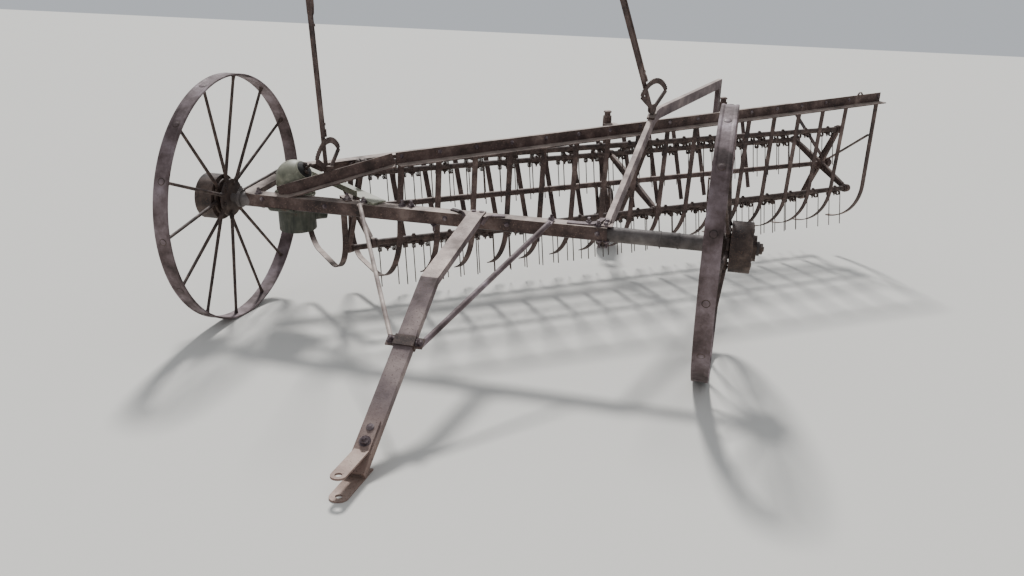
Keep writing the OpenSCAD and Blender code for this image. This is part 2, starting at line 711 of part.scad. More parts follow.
module lever_sectors() {
    color(rust) on_frame() {
        difference() {
            union() {
                translate(rear_pivot) rotate([0, 0, rear_turn]) lever_sector(sector_t);
                span(arch_a, arch_b) translate([norm(arch_b - arch_a) - rear_along - 45, -22, 0])
                    cube([90, 44, foot_pad]);
            }
            span(arch_a, arch_b) translate([0, -2 * arch_w, seat_gap - 2 * arch_flange])
                cube([norm(arch_b - arch_a), 4 * arch_w, 2 * arch_flange]);
        }
        translate(front_pivot) lever_sector(sector_t);
        // foot of the front sector, bolted behind the beam's web
        translate([beam_foot[0], beam_foot[1], flange_z] + foot_share * knee_step)
            rotate([0, 0, atan2(knee_step[1], knee_step[0])]) translate([fuse, seat_gap, leg / 4])
                cube([44, sector_t, 1.3 * leg]);
    }
}

// A sector plate that stands across X, with the pin that carries its lever
module lever_sector(boss) {
    a = sector_ends;
    rotate([90, 0, 90]) {
        linear_extrude(sector_t) {
            difference() {
                circle(r = sector_r);
                circle(r = sector_r - sector_w);
                rotate([0, 0, a[0]]) translate([-2 * sector_r, -4 * sector_r]) square(4 * sector_r);
                rotate([0, 0, a[1]]) translate([-2 * sector_r, 0]) square(4 * sector_r);
            }
            for (t = a) rotate([0, 0, t]) translate([0, -sector_w / 2])
                square([sector_r - sector_w / 2, sector_w]);
            circle(d = 3 * lever_pin_d);
        }
        cylinder(h = boss, d = 2 * lever_pin_d);
        translate([0, 0, -pin_out]) cylinder(h = pin_out + fuse, d = lever_pin_d);
    }
}

// Lift levers: flat bars that pivot beside their sectors and reach up to the driver's hand
rear_lever_len = 900;
rear_lever_tilt = 30;
front_lever_len = 790;
front_lever_tilt = 4;
grip_len = 120;

module lift_lever(len, tilt) {
    rotate([90, 0, 90]) translate([0, 0, -lever_gap - lever_t]) rotate([0, 0, tilt]) difference() {
        union() {
            translate([-lever_w / 2, 0, 0]) cube([lever_w, len, lever_t]);
            cylinder(h = lever_t, d = 2.4 * lever_pin_d);
            translate([0, len - fuse, lever_t / 2]) rotate([-90, 0, 0]) cylinder(h = grip_len, d = 24);
        }
        translate([0, 0, -cut]) cylinder(h = lever_t + 2 * cut, d = lever_pin_d + 2 * run_gap);
    }
}

module rear_lever() {
    color(rust) on_frame() translate(rear_pivot) rotate([0, 0, rear_turn])
        lift_lever(rear_lever_len, rear_lever_tilt);
}

module front_lever() {
    color(rust) on_frame() translate(front_pivot) lift_lever(front_lever_len, front_lever_tilt);
}

// Front wheels
rim_in_r = wheel_r - tread_lip - tread_t;

module wheel_rim() {
    color(rim_steel) rotate([0, 90, 0]) rotate_extrude($fn = 96)
        polygon([[rim_in_r, -tread_w / 2 + 6], [rim_in_r, tread_w / 2 - 6], [wheel_r - 9, tread_w / 2],
                 [wheel_r - 2, tread_w / 2], [wheel_r, tread_w / 2 - 3], [wheel_r, tread_w / 2 - 11],
                 [wheel_r - tread_lip, tread_w / 4], [wheel_r - tread_lip, -tread_w / 4],
                 [wheel_r, -tread_w / 2 + 11], [wheel_r, -tread_w / 2 + 3], [wheel_r - 2, -tread_w / 2],
                 [wheel_r - 9, -tread_w / 2]]);
}

// Hub barrel, its two flanges, the ratchet drum and the spokes, drawn for the wheel on the left side
module wheel_centre() {
    color(rim_steel) difference() {
        union() {
            translate([hub_in, 0, 0]) along_x(hub_len, hub_d);
            for (x = [hub_in, outer_flange_at]) translate([x, 0, 0]) along_x(hub_flange_t, hub_flange_d);
            translate([drum_in, 0, 0]) along_x(drum_w, drum_d);
            intersection() {
                for (i = [0:spoke_n - 1]) rotate([spoke_phase + i * 360 / spoke_n, 0, 0])
                    rod([i % 2 == 0 ? hub_in + hub_flange_t / 2 : outer_flange_at + hub_flange_t / 2, 80, 0],
                        [0, rim_in_r + 4, 0], spoke_d);
                translate([-tread_w, 0, 0]) rotate([0, 90, 0])
                    cylinder(h = 3 * tread_w, r = rim_in_r - seat_gap, $fn = 96);
            }
        }
        translate([-cut, 0, 0]) along_x(hub_len + 2 * hub_in, stub_d + 2 * run_gap);
    }
}

module at_wheel(s) { machine() mirror([s > 0 ? 0 : 1, 0, 0]) translate([track / 2, 0, wheel_r]) children(); }

// Reel: centre shaft, three spiders and four tooth bars with spring teeth
shaft_near = case_reel_x + case_d / 2 + 4;
shaft_far = far_hanger_x + hanger_w + 18;
eye_d = bar_d + 22;

module reel_shaft() {
    color(rust) at_reel() {
        translate([shaft_near, 0, 0]) along_x(shaft_far - shaft_near, shaft_d);
        translate([shaft_far - 12, 0, 0]) along_x(12, shaft_d + 16);
    }
}

function bar_angle(k) = reel_phase + 90 * (k - 1);
function bar_at(k) = [0, -reel_r * cos(bar_angle(k)), reel_r * sin(bar_angle(k))];

module spider() {
    difference() {
        union() {
            translate([-spider_hub_len / 2, 0, 0]) along_x(spider_hub_len, spider_hub_d);
            for (k = [1:4]) {
                translate(bar_at(k) - [eye_len / 2, 0, 0]) along_x(eye_len, eye_d);
                rotate([-bar_angle(k), 0, 0]) translate([-arm_t / 2, -reel_r, -arm_w / 2])
                    cube([arm_t, reel_r - 0.4 * spider_hub_d, arm_w]);
            }
        }
        for (k = [1:4]) translate(bar_at(k) - [eye_len, 0, 0]) along_x(2 * eye_len, bar_d + 2 * run_gap);
        translate([-spider_hub_len, 0, 0]) along_x(2 * spider_hub_len, shaft_d);
    }
}

module reel_spiders() {
    color(rust) at_reel() for (x = [reel_near, reel_centre, reel_far]) translate([x, 0, 0]) spider();
}

// Two teeth of each bar pass between one stripper and the next
tooth_pitch = pitch * cos(strip_turn) / 2;
tooth_first = strip_station(strip_first) + tooth_pitch / 2;
tooth_n = floor((reel_far - spider_hub_len - tooth_first) / tooth_pitch) + 1;

module tooth_bar(k) {
    color(rust) at_reel() translate(bar_at(k)) {
        translate([reel_near - bar_over, 0, 0]) along_x(reel_far - reel_near + 2 * bar_over, bar_d);
        for (j = [0:tooth_n - 1]) translate([tooth_first + j * tooth_pitch, 0, 0])
            rotate([180 - tooth_lean, 0, 0]) cylinder(h = tooth_len, d = tooth_d, $fn = 16);
    }
}

module near_strippers() { strippers(1, ceil(strip_n / 2) - 1, near_hook_turn); }
module far_strippers() { strippers(ceil(strip_n / 2), strip_n - 1, hook_turn); }
module left_wheel_rim() { at_wheel(1) wheel_rim(); }
module left_wheel_centre() { at_wheel(1) wheel_centre(); }
module right_wheel_rim() { at_wheel(-1) wheel_rim(); }
module right_wheel_centre() { at_wheel(-1) wheel_centre(); }
module tooth_bar_1() { tooth_bar(1); }
module tooth_bar_2() { tooth_bar(2); }
module tooth_bar_3() { tooth_bar(3); }
module tooth_bar_4() { tooth_bar(4); }
module castor_fork_1() { castor_fork(0); }
module castor_fork_2() { castor_fork(1); }
module castor_wheel_1() { castor_wheel(0); }
module castor_wheel_2() { castor_wheel(1); }

front_bar();
rear_rail();
side_brace();
axle();
gear_case();
top_beam();
arch();
near_hoops();
near_strippers();
far_strippers();
rear_strippers();
far_hanger();
castor_sleeves();
drawbar();
hitch_plate();
brace_clamp();
left_brace_rod();
right_brace_rod();
lever_sectors();
left_wheel_rim();
left_wheel_centre();
right_wheel_rim();
right_wheel_centre();
reel_shaft();
reel_spiders();
tooth_bar_1();
tooth_bar_2();
tooth_bar_3();
tooth_bar_4();
castor_fork_1();
castor_fork_2();
castor_wheel_1();
castor_wheel_2();
rear_lever();
front_lever();
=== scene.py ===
# %% [markdown]
# # A side-delivery hay rake
#
# The rake is a towed machine of rusted angle iron. Two tall steel wheels carry it, and a long reel of
# tooth bars lies slantwise behind them. The CAD model already has every bar, strap and wheel at its real
# size, so Blender is here for what a drawing leaves out: rust, worn paint, springs, rivets and bolts.
#
# They are never moved, and each new piece says which moving body it rides on.

# %% Load the frame
import math

import bpy
import numpy as np
from mathutils import Matrix


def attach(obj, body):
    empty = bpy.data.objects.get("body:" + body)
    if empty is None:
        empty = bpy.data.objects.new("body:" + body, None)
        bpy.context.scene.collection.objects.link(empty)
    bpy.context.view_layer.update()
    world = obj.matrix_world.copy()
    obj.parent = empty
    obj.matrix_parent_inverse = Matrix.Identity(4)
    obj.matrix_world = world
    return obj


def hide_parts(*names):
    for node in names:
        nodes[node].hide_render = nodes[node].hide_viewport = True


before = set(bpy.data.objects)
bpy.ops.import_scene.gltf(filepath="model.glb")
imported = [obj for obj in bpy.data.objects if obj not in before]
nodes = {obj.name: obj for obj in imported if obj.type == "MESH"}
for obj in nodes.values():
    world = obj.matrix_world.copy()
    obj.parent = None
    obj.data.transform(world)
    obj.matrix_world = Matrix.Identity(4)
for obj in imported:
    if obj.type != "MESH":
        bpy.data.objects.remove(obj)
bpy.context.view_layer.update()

# %% [markdown]
# ## Where things are
#
# The part's origin is the middle of the hitch pin hole. The machine is easier to think about in its own
# frames: the ground under the axle, the frame that leans nose-down, the top beam, the rear rail, the reel
# and each wheel. A 4x4 matrix takes millimetres in such a frame to metres in the part. The numbers are
# those of the CAD source.

# %% Sizes from the CAD source
WHEEL_R, TRACK = 635.0, 2465.0  # of the front wheels
HITCH = (93.0, -1600.0, 45.0)  # the pin hole, from the ground under the middle of the axle
FRAME_TIP = 6.4  # degrees that the frame leans nose-down
AZIMUTH = 43.5  # degrees from the axle to the beam, in the frame's plane
REEL_RISE = 1.4  # degrees that the reel rises to its far end
LEG, IRON = 63.5, 6.4  # leg and thickness of the angle iron
FLANGE_Z = 42.9  # top of the front bar and the rear rail over the axle
BAR_FRONT, BAR_LEFT = -42.9, 735.0  # the front bar's face and its left end
KNEE = (-393.0, 172.0, 200.0)  # where the long run of the beam starts
RAIL_START = (-1176.0, 520.0, FLANGE_Z)
REEL_FROM_KNEE, REEL_BEHIND, REEL_MID_Z = 2146.0, 370.0, 614.0  # the reel's middle: along, behind, over the ground
print("axle to hitch pin:", -HITCH[1], "mm")

# %% Frames of the machine


def shift(x, y, z):
    """The matrix that moves a point by x, y and z."""
    m = np.eye(4)
    m[:3, 3] = x, y, z
    return m


def turn(axis, degrees):
    """The matrix that turns a point about the x, y or z axis, anticlockwise seen from its tip."""
    m = np.eye(4)
    c, s = math.cos(math.radians(degrees)), math.sin(math.radians(degrees))
    i, j = {"x": (1, 2), "y": (2, 0), "z": (0, 1)}[axis]
    m[i, i], m[i, j], m[j, i], m[j, j] = c, -s, s, c
    return m


def spot(place, point):
    """Where a point of one frame lies in the frame around it."""
    return (place @ [*point, 1.0])[:3]


TIPPED = shift(0, 0, WHEEL_R) @ turn("x", FRAME_TIP)
GROUND = np.diag([0.001, 0.001, 0.001, 1.0]) @ shift(-HITCH[0], -HITCH[1], -HITCH[2])
FRAME = GROUND @ TIPPED
BEAM = FRAME @ shift(*KNEE) @ turn("z", AZIMUTH)
RAIL = FRAME @ shift(*RAIL_START) @ turn("z", AZIMUTH)

plan = math.degrees(math.atan2(math.sin(math.radians(AZIMUTH)) * math.cos(math.radians(FRAME_TIP)),
                               math.cos(math.radians(AZIMUTH))))
along = np.array([math.cos(math.radians(plan)), math.sin(math.radians(plan))])
knee_at = spot(TIPPED, KNEE)
reel_mid = knee_at[:2] + REEL_FROM_KNEE * along + REEL_BEHIND * np.array([-along[1], along[0]])
REEL = GROUND @ shift(*reel_mid, REEL_MID_Z) @ turn("z", plan) @ turn("y", -REEL_RISE)
# The right wheel is the left one seen in a mirror, so its frame mirrors X
WHEELS = {"left": GROUND @ shift(TRACK / 2, 0, WHEEL_R),
          "right": GROUND @ np.diag([-1.0, 1, 1, 1]) @ shift(TRACK / 2, 0, WHEEL_R)}
print("reel middle in the part, metres:", np.round(spot(REEL, (0, 0, 0)), 3))

# %% [markdown]
# ## Camera, light and floor
#
# The camera stands where the photographer stood, a little over head height in front of the left wheel.
# Its lens comes from a fit to the two wheels. The light is a broad soft sun from behind and above, so the
# upper faces are bright and the faces towards us are in open shade, as on the real machine. A pale floor
# and a grey sky fill the shade.

# %% Camera
CAMERA_AT = np.array([1.308, -4.126, 1.635]) - np.array(HITCH) / 1000
SENSOR_MM, LENS_MM, FAR_M = 36.0, 31.66, 100.0
yaw, pitch, roll = map(math.radians, (-14.01, 17.24, 2.31))
forward = np.array([math.sin(yaw) * math.cos(pitch), math.cos(yaw) * math.cos(pitch), -math.sin(pitch)])
level = np.array([math.cos(yaw), -math.sin(yaw), 0.0])
upward = np.cross(level, forward)

camera = bpy.data.objects.new("camera", bpy.data.cameras.new("camera"))
bpy.context.scene.collection.objects.link(camera)
camera.data.sensor_width = SENSOR_MM
camera.data.lens = LENS_MM
camera.data.clip_end = FAR_M
view = np.eye(4)
view[:3, 0] = math.cos(roll) * level + math.sin(roll) * upward
view[:3, 1] = -math.sin(roll) * level + math.cos(roll) * upward
view[:3, 2] = -forward
view[:3, 3] = CAMERA_AT
camera.matrix_world = Matrix(view.tolist())
bpy.context.scene.camera = camera
print("camera at", np.round(CAMERA_AT, 3), "lens", camera.data.lens)

# %% [markdown]
# ## Colours and nodes
#
# Colours are picked as the sRGB hex codes that a picture editor shows, and Blender wants them linear, so
# one function converts them. Another adds a shader node with its settings and its links, which keeps a
# material readable as a list of what it does. An input goes by its name, or by its number where several share
# a name, as in Math and Mix nodes. A Mix node's input 0 is the factor, 6 and 7 are the two colours, and its
# output 2 is the mixed colour.

# %% Colour and node helpers


def srgb(code):
    """A hex code such as #8a7a72 as linear red, green, blue and an alpha of 1."""
    c = np.array([int(code[i:i + 2], 16) for i in (1, 3, 5)]) / 255
    return [*np.where(c <= 0.04045, c / 12.92, ((c + 0.055) / 1.055) ** 2.4), 1.0]


def add(tree, kind, inputs=(), stops=(), **settings):
    """Adds a node. Each input gets a value, a hex code or a link from another node's output. The stops of a
    colour ramp are pairs of place and hex code."""
    node = tree.nodes.new(kind)
    for name, value in settings.items():
        setattr(node, name, value)
    for name, value in dict(inputs).items():
        if isinstance(value, bpy.types.NodeSocket):
            tree.links.new(value, node.inputs[name])
        else:
            node.inputs[name].default_value = srgb(value) if isinstance(value, str) else value
    for place, _ in stops[1:-1]:
        node.color_ramp.elements.new(place)
    for element, (place, code) in zip(node.color_ramp.elements if stops else (), stops):
        element.position, element.color = place, srgb(code)
    return node


print("linear value of #808080:", round(srgb("#808080")[0], 3))

# %% [markdown]
# ## Rusted steel
#
# Rolled steel that has stood outdoors for decades has a closed, purple-brown rust. It is an oxide, so it
# is rough and hardly metallic, but where hands, hay or weather rub it, it is smoother and shines a little.
# Three sizes of pattern make it up: stains as big as a hand, pits of a few millimetres, and specks of
# dust and orange rust. The pits drive the bump. Dust and painted top light pale the faces that look up,
# and the object's own normal picks those out, so the pale stays on its face when a lever swings. One function
# makes each kind of rust, because the kinds differ only in colour and in how rubbed they are.

# %% Rust


def looks_up(tree, normal, low=0.82, high=0.97):
    """0 on faces that lean, 1 on faces that look up: the height of the face's own unit normal, mapped."""
    z = add(tree, "ShaderNodeSeparateXYZ", {"Vector": normal}).outputs["Z"]
    return add(tree, "ShaderNodeMapRange", {"Value": z, "From Min": low, "From Max": high}).outputs["Result"]


def rusted(name, stains, speck, speck_from=0.6, rub=0.15, stain_mm=110.0, pit_mm=7.0, relief=0.5, dust_and_top_light=None,
           soil=None):
    """A rusted steel: stain colours from deep to dusty, speck colour, and how much bare metal is rubbed free.
    Dust and painted top light pale what looks up, and soil colours what hangs low over the ground."""
    material = bpy.data.materials.new(name)
    material.use_nodes = True
    tree = material.node_tree
    shader = tree.nodes["Principled BSDF"]
    own = add(tree, "ShaderNodeTexCoord").outputs
    where = own["Object"]
    stain, pits = [add(tree, "ShaderNodeTexNoise", {"Vector": where, "Scale": 1000 / mm, "Detail": detail,
                                                    "Roughness": rough}).outputs["Fac"]
                   for mm, detail, rough in ((stain_mm, 6.0, 0.62), (pit_mm, 3.0, 0.6))]
    # Noise seldom leaves the middle of its range, so the stain colours are spread over that part
    stops = list(zip(np.linspace(0.34, 0.68, len(stains)), stains))
    tone = add(tree, "ShaderNodeValToRGB", {"Fac": stain}, stops).outputs["Color"]
    if dust_and_top_light:
        # Dust lies thickest on the pale stains
        thick = add(tree, "ShaderNodeMapRange", {"Value": stain, "From Min": 0.35, "From Max": 0.6,
                                                 "To Min": 0.35, "To Max": 0.9}).outputs["Result"]
        grey = add(tree, "ShaderNodeMix", {0: thick, 6: tone, 7: dust_and_top_light}, data_type="RGBA").outputs[2]
        # Faces that look up take the dusty tone: partly dust, partly painted top light for the sun on them
        dust_and_top_light_mask = looks_up(tree, own["Normal"])
        tone = add(tree, "ShaderNodeMix", {0: dust_and_top_light_mask, 6: tone, 7: grey}, data_type="RGBA").outputs[2]
    if soil:
        # Splashes reach from 30 mm over the hitch hole, where they cover most, to 160 mm over it
        height = add(tree, "ShaderNodeSeparateXYZ", {"Vector": where}).outputs["Z"]
        low = add(tree, "ShaderNodeMapRange", {"Value": height, "From Min": 0.16, "From Max": 0.03,
                                               "To Max": 0.6}).outputs["Result"]
        tone = add(tree, "ShaderNodeMix", {0: low, 6: tone, 7: soil}, data_type="RGBA").outputs[2]
    specks = add(tree, "ShaderNodeMapRange", {"Value": pits, "From Min": speck_from,
                                              "From Max": speck_from + 0.12}).outputs["Result"]
    dusty = add(tree, "ShaderNodeMix", {0: specks, 6: tone, 7: speck}, data_type="RGBA").outputs[2]
    # Pale and raised parts are rubbed smoother
    uneven = add(tree, "ShaderNodeMath", {0: stain, 1: pits}, operation="MULTIPLY").outputs[0]
    rough = add(tree, "ShaderNodeMapRange", {"Value": uneven, "From Min": 0.1, "From Max": 0.45,
                                             "To Min": 0.82, "To Max": 0.52}).outputs["Result"]
    bump = add(tree, "ShaderNodeBump", {"Strength": relief, "Distance": 0.0015, "Height": pits})
    tree.links.new(dusty, shader.inputs["Base Color"])
    tree.links.new(rough, shader.inputs["Roughness"])
    tree.links.new(bump.outputs["Normal"], shader.inputs["Normal"])
    shader.inputs["Metallic"].default_value = rub
    return material


# %% The kinds of rust
# Hot-rolled angle iron: closed purple-brown rust, the colour of most of the frame
frame_rust = rusted("hot_rolled_iron_rust", ["#2b211f", "#43332f", "#56443f", "#75635c"], "#84695a",
                    dust_and_top_light="#ab9b90")
# Steel that weather has bleached: the drawbar and the arch. Red soil stains the hitch, which lies low
bleached_rust = rusted("bleached_mild_steel", ["#4a3d3b", "#68595a", "#7f6f6d", "#9a8984"], "#5e4841",
                       speck_from=0.57, rub=0.2, stain_mm=160.0, relief=0.6, dust_and_top_light="#b6a59a", soil="#957a6b")
# Dust-pale pipe: the left brace rod has lost its dark oxide all round
pale_pipe = rusted("bleached_brace_pipe", ["#6f625f", "#94867f", "#b0a299", "#c6bab0"], "#6b5249",
                   speck_from=0.62, rub=0.2, stain_mm=120.0, relief=0.4)
# The wheels' forged rims: a lilac-brown oxide, rubbed by the road
wheel_rust = rusted("forged_rim_iron", ["#3c302f", "#5a4b4b", "#766769", "#908287"], "#4d3b36",
                    speck_from=0.62, rub=0.3, stain_mm=140.0, relief=0.35)
# Cast iron hubs and castors, coarser and darker than rolled steel
cast_rust = rusted("grey_cast_iron_rust", ["#241c1a", "#382c28", "#4b3d36", "#64544b"], "#6e503d",
                   stain_mm=70.0, pit_mm=5.0, relief=0.7)
# Spring steel wire rusts thin and dark
spring_rust = rusted("spring_wire_rust", ["#2a201d", "#433530", "#5c4b44"], "#7a6254", stain_mm=40.0,
                     pit_mm=4.0, relief=0.3)
# Bolts and nuts hold more bare metal at their corners
bolt_rust = rusted("bolt_steel_rust", ["#33282a", "#524549", "#766a6c", "#a09492"], "#6b4a38", rub=0.4,
                   stain_mm=25.0, pit_mm=4.0, relief=0.3)
print("rusts:", [m.name for m in bpy.data.materials if "rust" in m.name or "steel" in m.name])

# %% [markdown]
# ## Old paint and pipe
#
# The gear case and the side brace still carry green enamel. It has chalked to a grey green, and rust comes
# through it in patches with ragged edges. A mask does that: noise, cut sharply, picks paint or rust, and
# the same mask pits the rusty patches and leaves the paint smooth. Below the seam between can and dome the
# paint is darker, with streaks that run down: noise that is stretched along the height.
# The axle pipe is bare steel, grey brown and smoother than the bars.

# %% Paint and pipe
CASE = (-950.0, 128.0)  # the middle of the gear case, seen from above
SEAM = spot(FRAME, (*CASE, 10.0))[2]


def chalked_enamel(name, greens, rusts, below_seam_colour, worn=0.52):
    """Old enamel over rust: paint colours, rust colours, the darker colour below the seam, and how worn it is."""
    material = bpy.data.materials.new(name)
    material.use_nodes = True
    tree = material.node_tree
    shader = tree.nodes["Principled BSDF"]
    own = add(tree, "ShaderNodeTexCoord").outputs
    where = own["Object"]
    drawn = add(tree, "ShaderNodeMapping", {"Vector": where, "Scale": (1.0, 1.0, 0.12)}).outputs[0]
    patches, mottle, pits, streaks = [
        add(tree, "ShaderNodeTexNoise", {"Vector": at, "Scale": 1000 / mm, "Detail": detail,
                                         "Roughness": rough}).outputs["Fac"]
        for at, mm, detail, rough in ((where, 90.0, 8.0, 0.7), (where, 60.0, 4.0, 0.6), (where, 6.0, 3.0, 0.6),
                                      (drawn, 22.0, 4.0, 0.6))]
    through = add(tree, "ShaderNodeMapRange", {"Value": patches, "From Min": worn,
                                               "From Max": worn + 0.05}).outputs["Result"]
    stops = list(zip(np.linspace(0.35, 0.65, len(greens)), greens))
    paint = add(tree, "ShaderNodeValToRGB", {"Fac": mottle}, stops).outputs["Color"]
    # Faces that look up take the palest green: partly chalking, partly painted top light for the sun on them
    chalk_and_top_light = looks_up(tree, own["Normal"], 0.35, 1.0)
    paint = add(tree, "ShaderNodeMix", {0: chalk_and_top_light, 6: paint, 7: greens[-1]}, data_type="RGBA").outputs[2]
    # Below the seam the paint is darker, in streaks that run down
    height = add(tree, "ShaderNodeSeparateXYZ", {"Vector": where}).outputs["Z"]
    below = add(tree, "ShaderNodeMapRange", {"Value": height, "From Min": SEAM + 0.004,
                                             "From Max": SEAM - 0.01}).outputs["Result"]
    run_down = add(tree, "ShaderNodeMapRange", {"Value": streaks, "From Min": 0.35, "From Max": 0.65,
                                                "To Min": 0.72, "To Max": 1.0}).outputs["Result"]
    darker_below_seam = add(tree, "ShaderNodeMath", {0: below, 1: run_down}, operation="MULTIPLY").outputs[0]
    paint = add(tree, "ShaderNodeMix", {0: darker_below_seam, 6: paint, 7: below_seam_colour}, data_type="RGBA").outputs[2]
    stops = list(zip(np.linspace(0.35, 0.7, len(rusts)), rusts))
    rust = add(tree, "ShaderNodeValToRGB", {"Fac": pits}, stops).outputs["Color"]
    colour = add(tree, "ShaderNodeMix", {0: through, 6: paint, 7: rust}, data_type="RGBA").outputs[2]
    rough = add(tree, "ShaderNodeMapRange", {"Value": through, "To Min": 0.55, "To Max": 0.85}).outputs["Result"]
    relief = add(tree, "ShaderNodeMath", {0: pits, 1: through, 2: 0.6}, operation="MULTIPLY_ADD").outputs[0]
    bump = add(tree, "ShaderNodeBump", {"Strength": 0.4, "Distance": 0.0015, "Height": relief})
    tree.links.new(colour, shader.inputs["Base Color"])
    tree.links.new(rough, shader.inputs["Roughness"])
    tree.links.new(bump.outputs["Normal"], shader.inputs["Normal"])
    return material


green_paint = chalked_enamel("chalked_green_enamel", ["#5e5f50", "#7d7c6b", "#9d9b89"],
                             ["#453a33", "#6a5a4c"], "#24281f", worn=0.6)
pipe_steel = rusted("bare_axle_pipe", ["#35302f", "#4d4745", "#645d5a", "#7c7572"], "#5d4a40",
                    speck_from=0.64, rub=0.35, stain_mm=150.0, relief=0.25)
print("paint and pipe:", green_paint.name, pipe_steel.name)

# %% [markdown]
# ## Finishes for the CAD pieces
#
# Each CAD piece keeps its shape and takes one of these finishes in its material slot. A short table says
# which piece is what, and everything that it doesn't name is frame rust.

# %% Assign finishes
GROUPS = [
    (bleached_rust, "drawbar arch hitch_plate"),
    (pale_pipe, "left_brace_rod"),
    (wheel_rust, "right_brace_rod left_wheel_rim right_wheel_rim"),
    (pipe_steel, "axle"),
    (green_paint, "gear_case side_brace"),
    (cast_rust, "left_wheel_centre right_wheel_centre castor_wheel_1 castor_wheel_2"),
    (spring_rust, "tooth_bar_1 tooth_bar_2 tooth_bar_3 tooth_bar_4"),
]
FINISH = {name: material for material, names in GROUPS for name in names.split()}
for name, node in nodes.items():
    node.data.materials.clear()
    node.data.materials.append(FINISH.get(name, frame_rust))
print(len(FINISH), "CAD pieces with a finish of their own,", len(nodes) - len(FINISH), "in frame rust")

# %% [markdown]
# ## Shapes from arrays
#
# Everything new is one of two kinds of surface. A profile turned round an axis makes a rivet, nut or
# collar. A section carried along a path makes a wire, rod or strap. Each is worked out as whole numpy arrays:
# rings of points, one ring per step, with quads between one ring and the next. A shape is its points and its
# faces, and it becomes a Blender mesh only at the end.

# %% Surfaces


def skin(rings):
    """Joins each ring of points to the next with quads and closes both ends with a flat cap."""
    rows, around = rings.shape[:2]
    index = np.arange(rows * around).reshape(rows, around)
    low, high = index[:-1], index[1:]
    quads = np.stack([low, np.roll(low, -1, 1), np.roll(high, -1, 1), high], -1).reshape(-1, 4)
    return rings.reshape(-1, 3), [quads, index[:1, ::-1], index[-1:]]


def lathe(profile, around=20):
    """Turns a profile of radius and height, bottom first, round +Z: x = r cos a, y = r sin a, z = height."""
    r, z = np.array(profile, float).T
    a = np.linspace(0, 2 * np.pi, around, endpoint=False)
    rings = np.stack([np.outer(r, np.cos(a)), np.outer(r, np.sin(a)), np.outer(z, np.ones(around))], -1)
    return skin(rings)


def sweep(path, section, side):
    """Carries a section along a path: path + x * across + y * up. Across is the side made square to the path,
    and up = ahead x across is square to both."""
    path, section = np.asarray(path, float), np.asarray(section, float)
    ahead = np.gradient(path, axis=0)
    ahead /= np.linalg.norm(ahead, axis=1, keepdims=True)
    across = np.broadcast_to(side, path.shape) - ahead * (ahead @ np.asarray(side, float))[:, None]
    across /= np.linalg.norm(across, axis=1, keepdims=True)
    up = np.cross(ahead, across)
    rings = path[:, None] + section[None, :, :1] * across[:, None] + section[None, :, 1:] * up[:, None]
    return skin(rings)


def ring(radius, count=10):
    """Section of a round wire: points on a circle, anticlockwise."""
    a = np.linspace(0, 2 * np.pi, count, endpoint=False)
    return radius * np.stack([np.cos(a), np.sin(a)], -1)


def flat(width, thick, chamfer=1.0):
    """Section of a flat bar: a rectangle whose corners are cut back by the chamfer."""
    w, t, c = width / 2, thick / 2, chamfer
    return np.array([[w, -t + c], [w, t - c], [w - c, t], [-w + c, t], [-w, t - c], [-w, -t + c],
                     [-w + c, -t], [w - c, -t]])


print("a wire's section has", len(ring(3)), "points, a flat bar's", len(flat(26, 6)))

# %% [markdown]
# ## Rows of copies
#
# A row of bolts is one small shape placed many times by 4x4 matrices, which is quicker than many objects
# and keeps the list of pieces short. The matrices stand the shape on a point, upright on the surface there.

# %% Joining and copying


def join(*shapes):
    """One shape from several: their points in a row, and the faces counted on."""
    points, faces, start = [], [], 0
    for own, own_faces in shapes:
        points.append(own)
        faces += [f + start for f in own_faces]
        start += len(own)
    return np.concatenate(points), faces


def stamp(shape, places):
    """Copies of a shape, one for each 4x4 matrix."""
    points, faces = shape
    places = np.asarray(places, float)
    moved = np.einsum("nij,vj->nvi", places[:, :3, :3], points) + places[:, None, :3, 3]
    steps = (np.arange(len(places)) * len(points))[:, None, None]
    return moved.reshape(-1, 3), [(f[None] + steps).reshape(-1, f.shape[1]) for f in faces]


def stand(points, outward):
    """Matrices that put a shape's base on each point with its +Z along outward."""
    points = np.atleast_2d(np.asarray(points, float))
    z = np.broadcast_to(np.asarray(outward, float), points.shape)
    z = z / np.linalg.norm(z, axis=1, keepdims=True)
    hint = np.where(np.abs(z[:, :1]) > 0.9, [[0.0, 0.0, 1.0]], [[1.0, 0.0, 0.0]])
    x = hint - z * (hint * z).sum(1, keepdims=True)
    x /= np.linalg.norm(x, axis=1, keepdims=True)
    places = np.tile(np.eye(4), (len(points), 1, 1))
    places[:, :3, 0], places[:, :3, 1], places[:, :3, 2], places[:, :3, 3] = x, np.cross(z, x), z, points
    return places


print("a matrix for each point:", stand([(0, 0, 0), (1, 0, 0)], (0, 0, 1)).shape)

# %% [markdown]
# ## From arrays to an object
#
# A piece is worked out in the frame where its numbers are simplest, and one function takes its points to
# metres in the part. The object itself stays at the origin, as a CAD node's does. The right wheel's frame
# mirrors, which would turn its faces inside out, so their corners are then listed backwards.

# %% Making a piece


def piece(name, shape, place, body, material, sharp=35):
    """Makes the object: points taken from their frame to metres in the part, faces turned if it mirrors.
    Edges that bend by more than sharp degrees stay sharp."""
    points, faces = shape
    points = points @ place[:3, :3].T + place[:3, 3]
    step = -1 if np.linalg.det(place[:3, :3]) < 0 else 1
    mesh = bpy.data.meshes.new(name)
    mesh.from_pydata(points.tolist(), [], [row for f in faces for row in f[:, ::step].tolist()])
    mesh.polygons.foreach_set("use_smooth", np.ones(len(mesh.polygons), bool))
    mesh.set_sharp_from_angle(angle=math.radians(sharp))
    mesh.materials.append(material)
    made = bpy.data.objects.new(name, mesh)
    bpy.context.scene.collection.objects.link(made)
    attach(made, body)
    print(f"{name}: {len(mesh.vertices)} points on {body}")
    return made


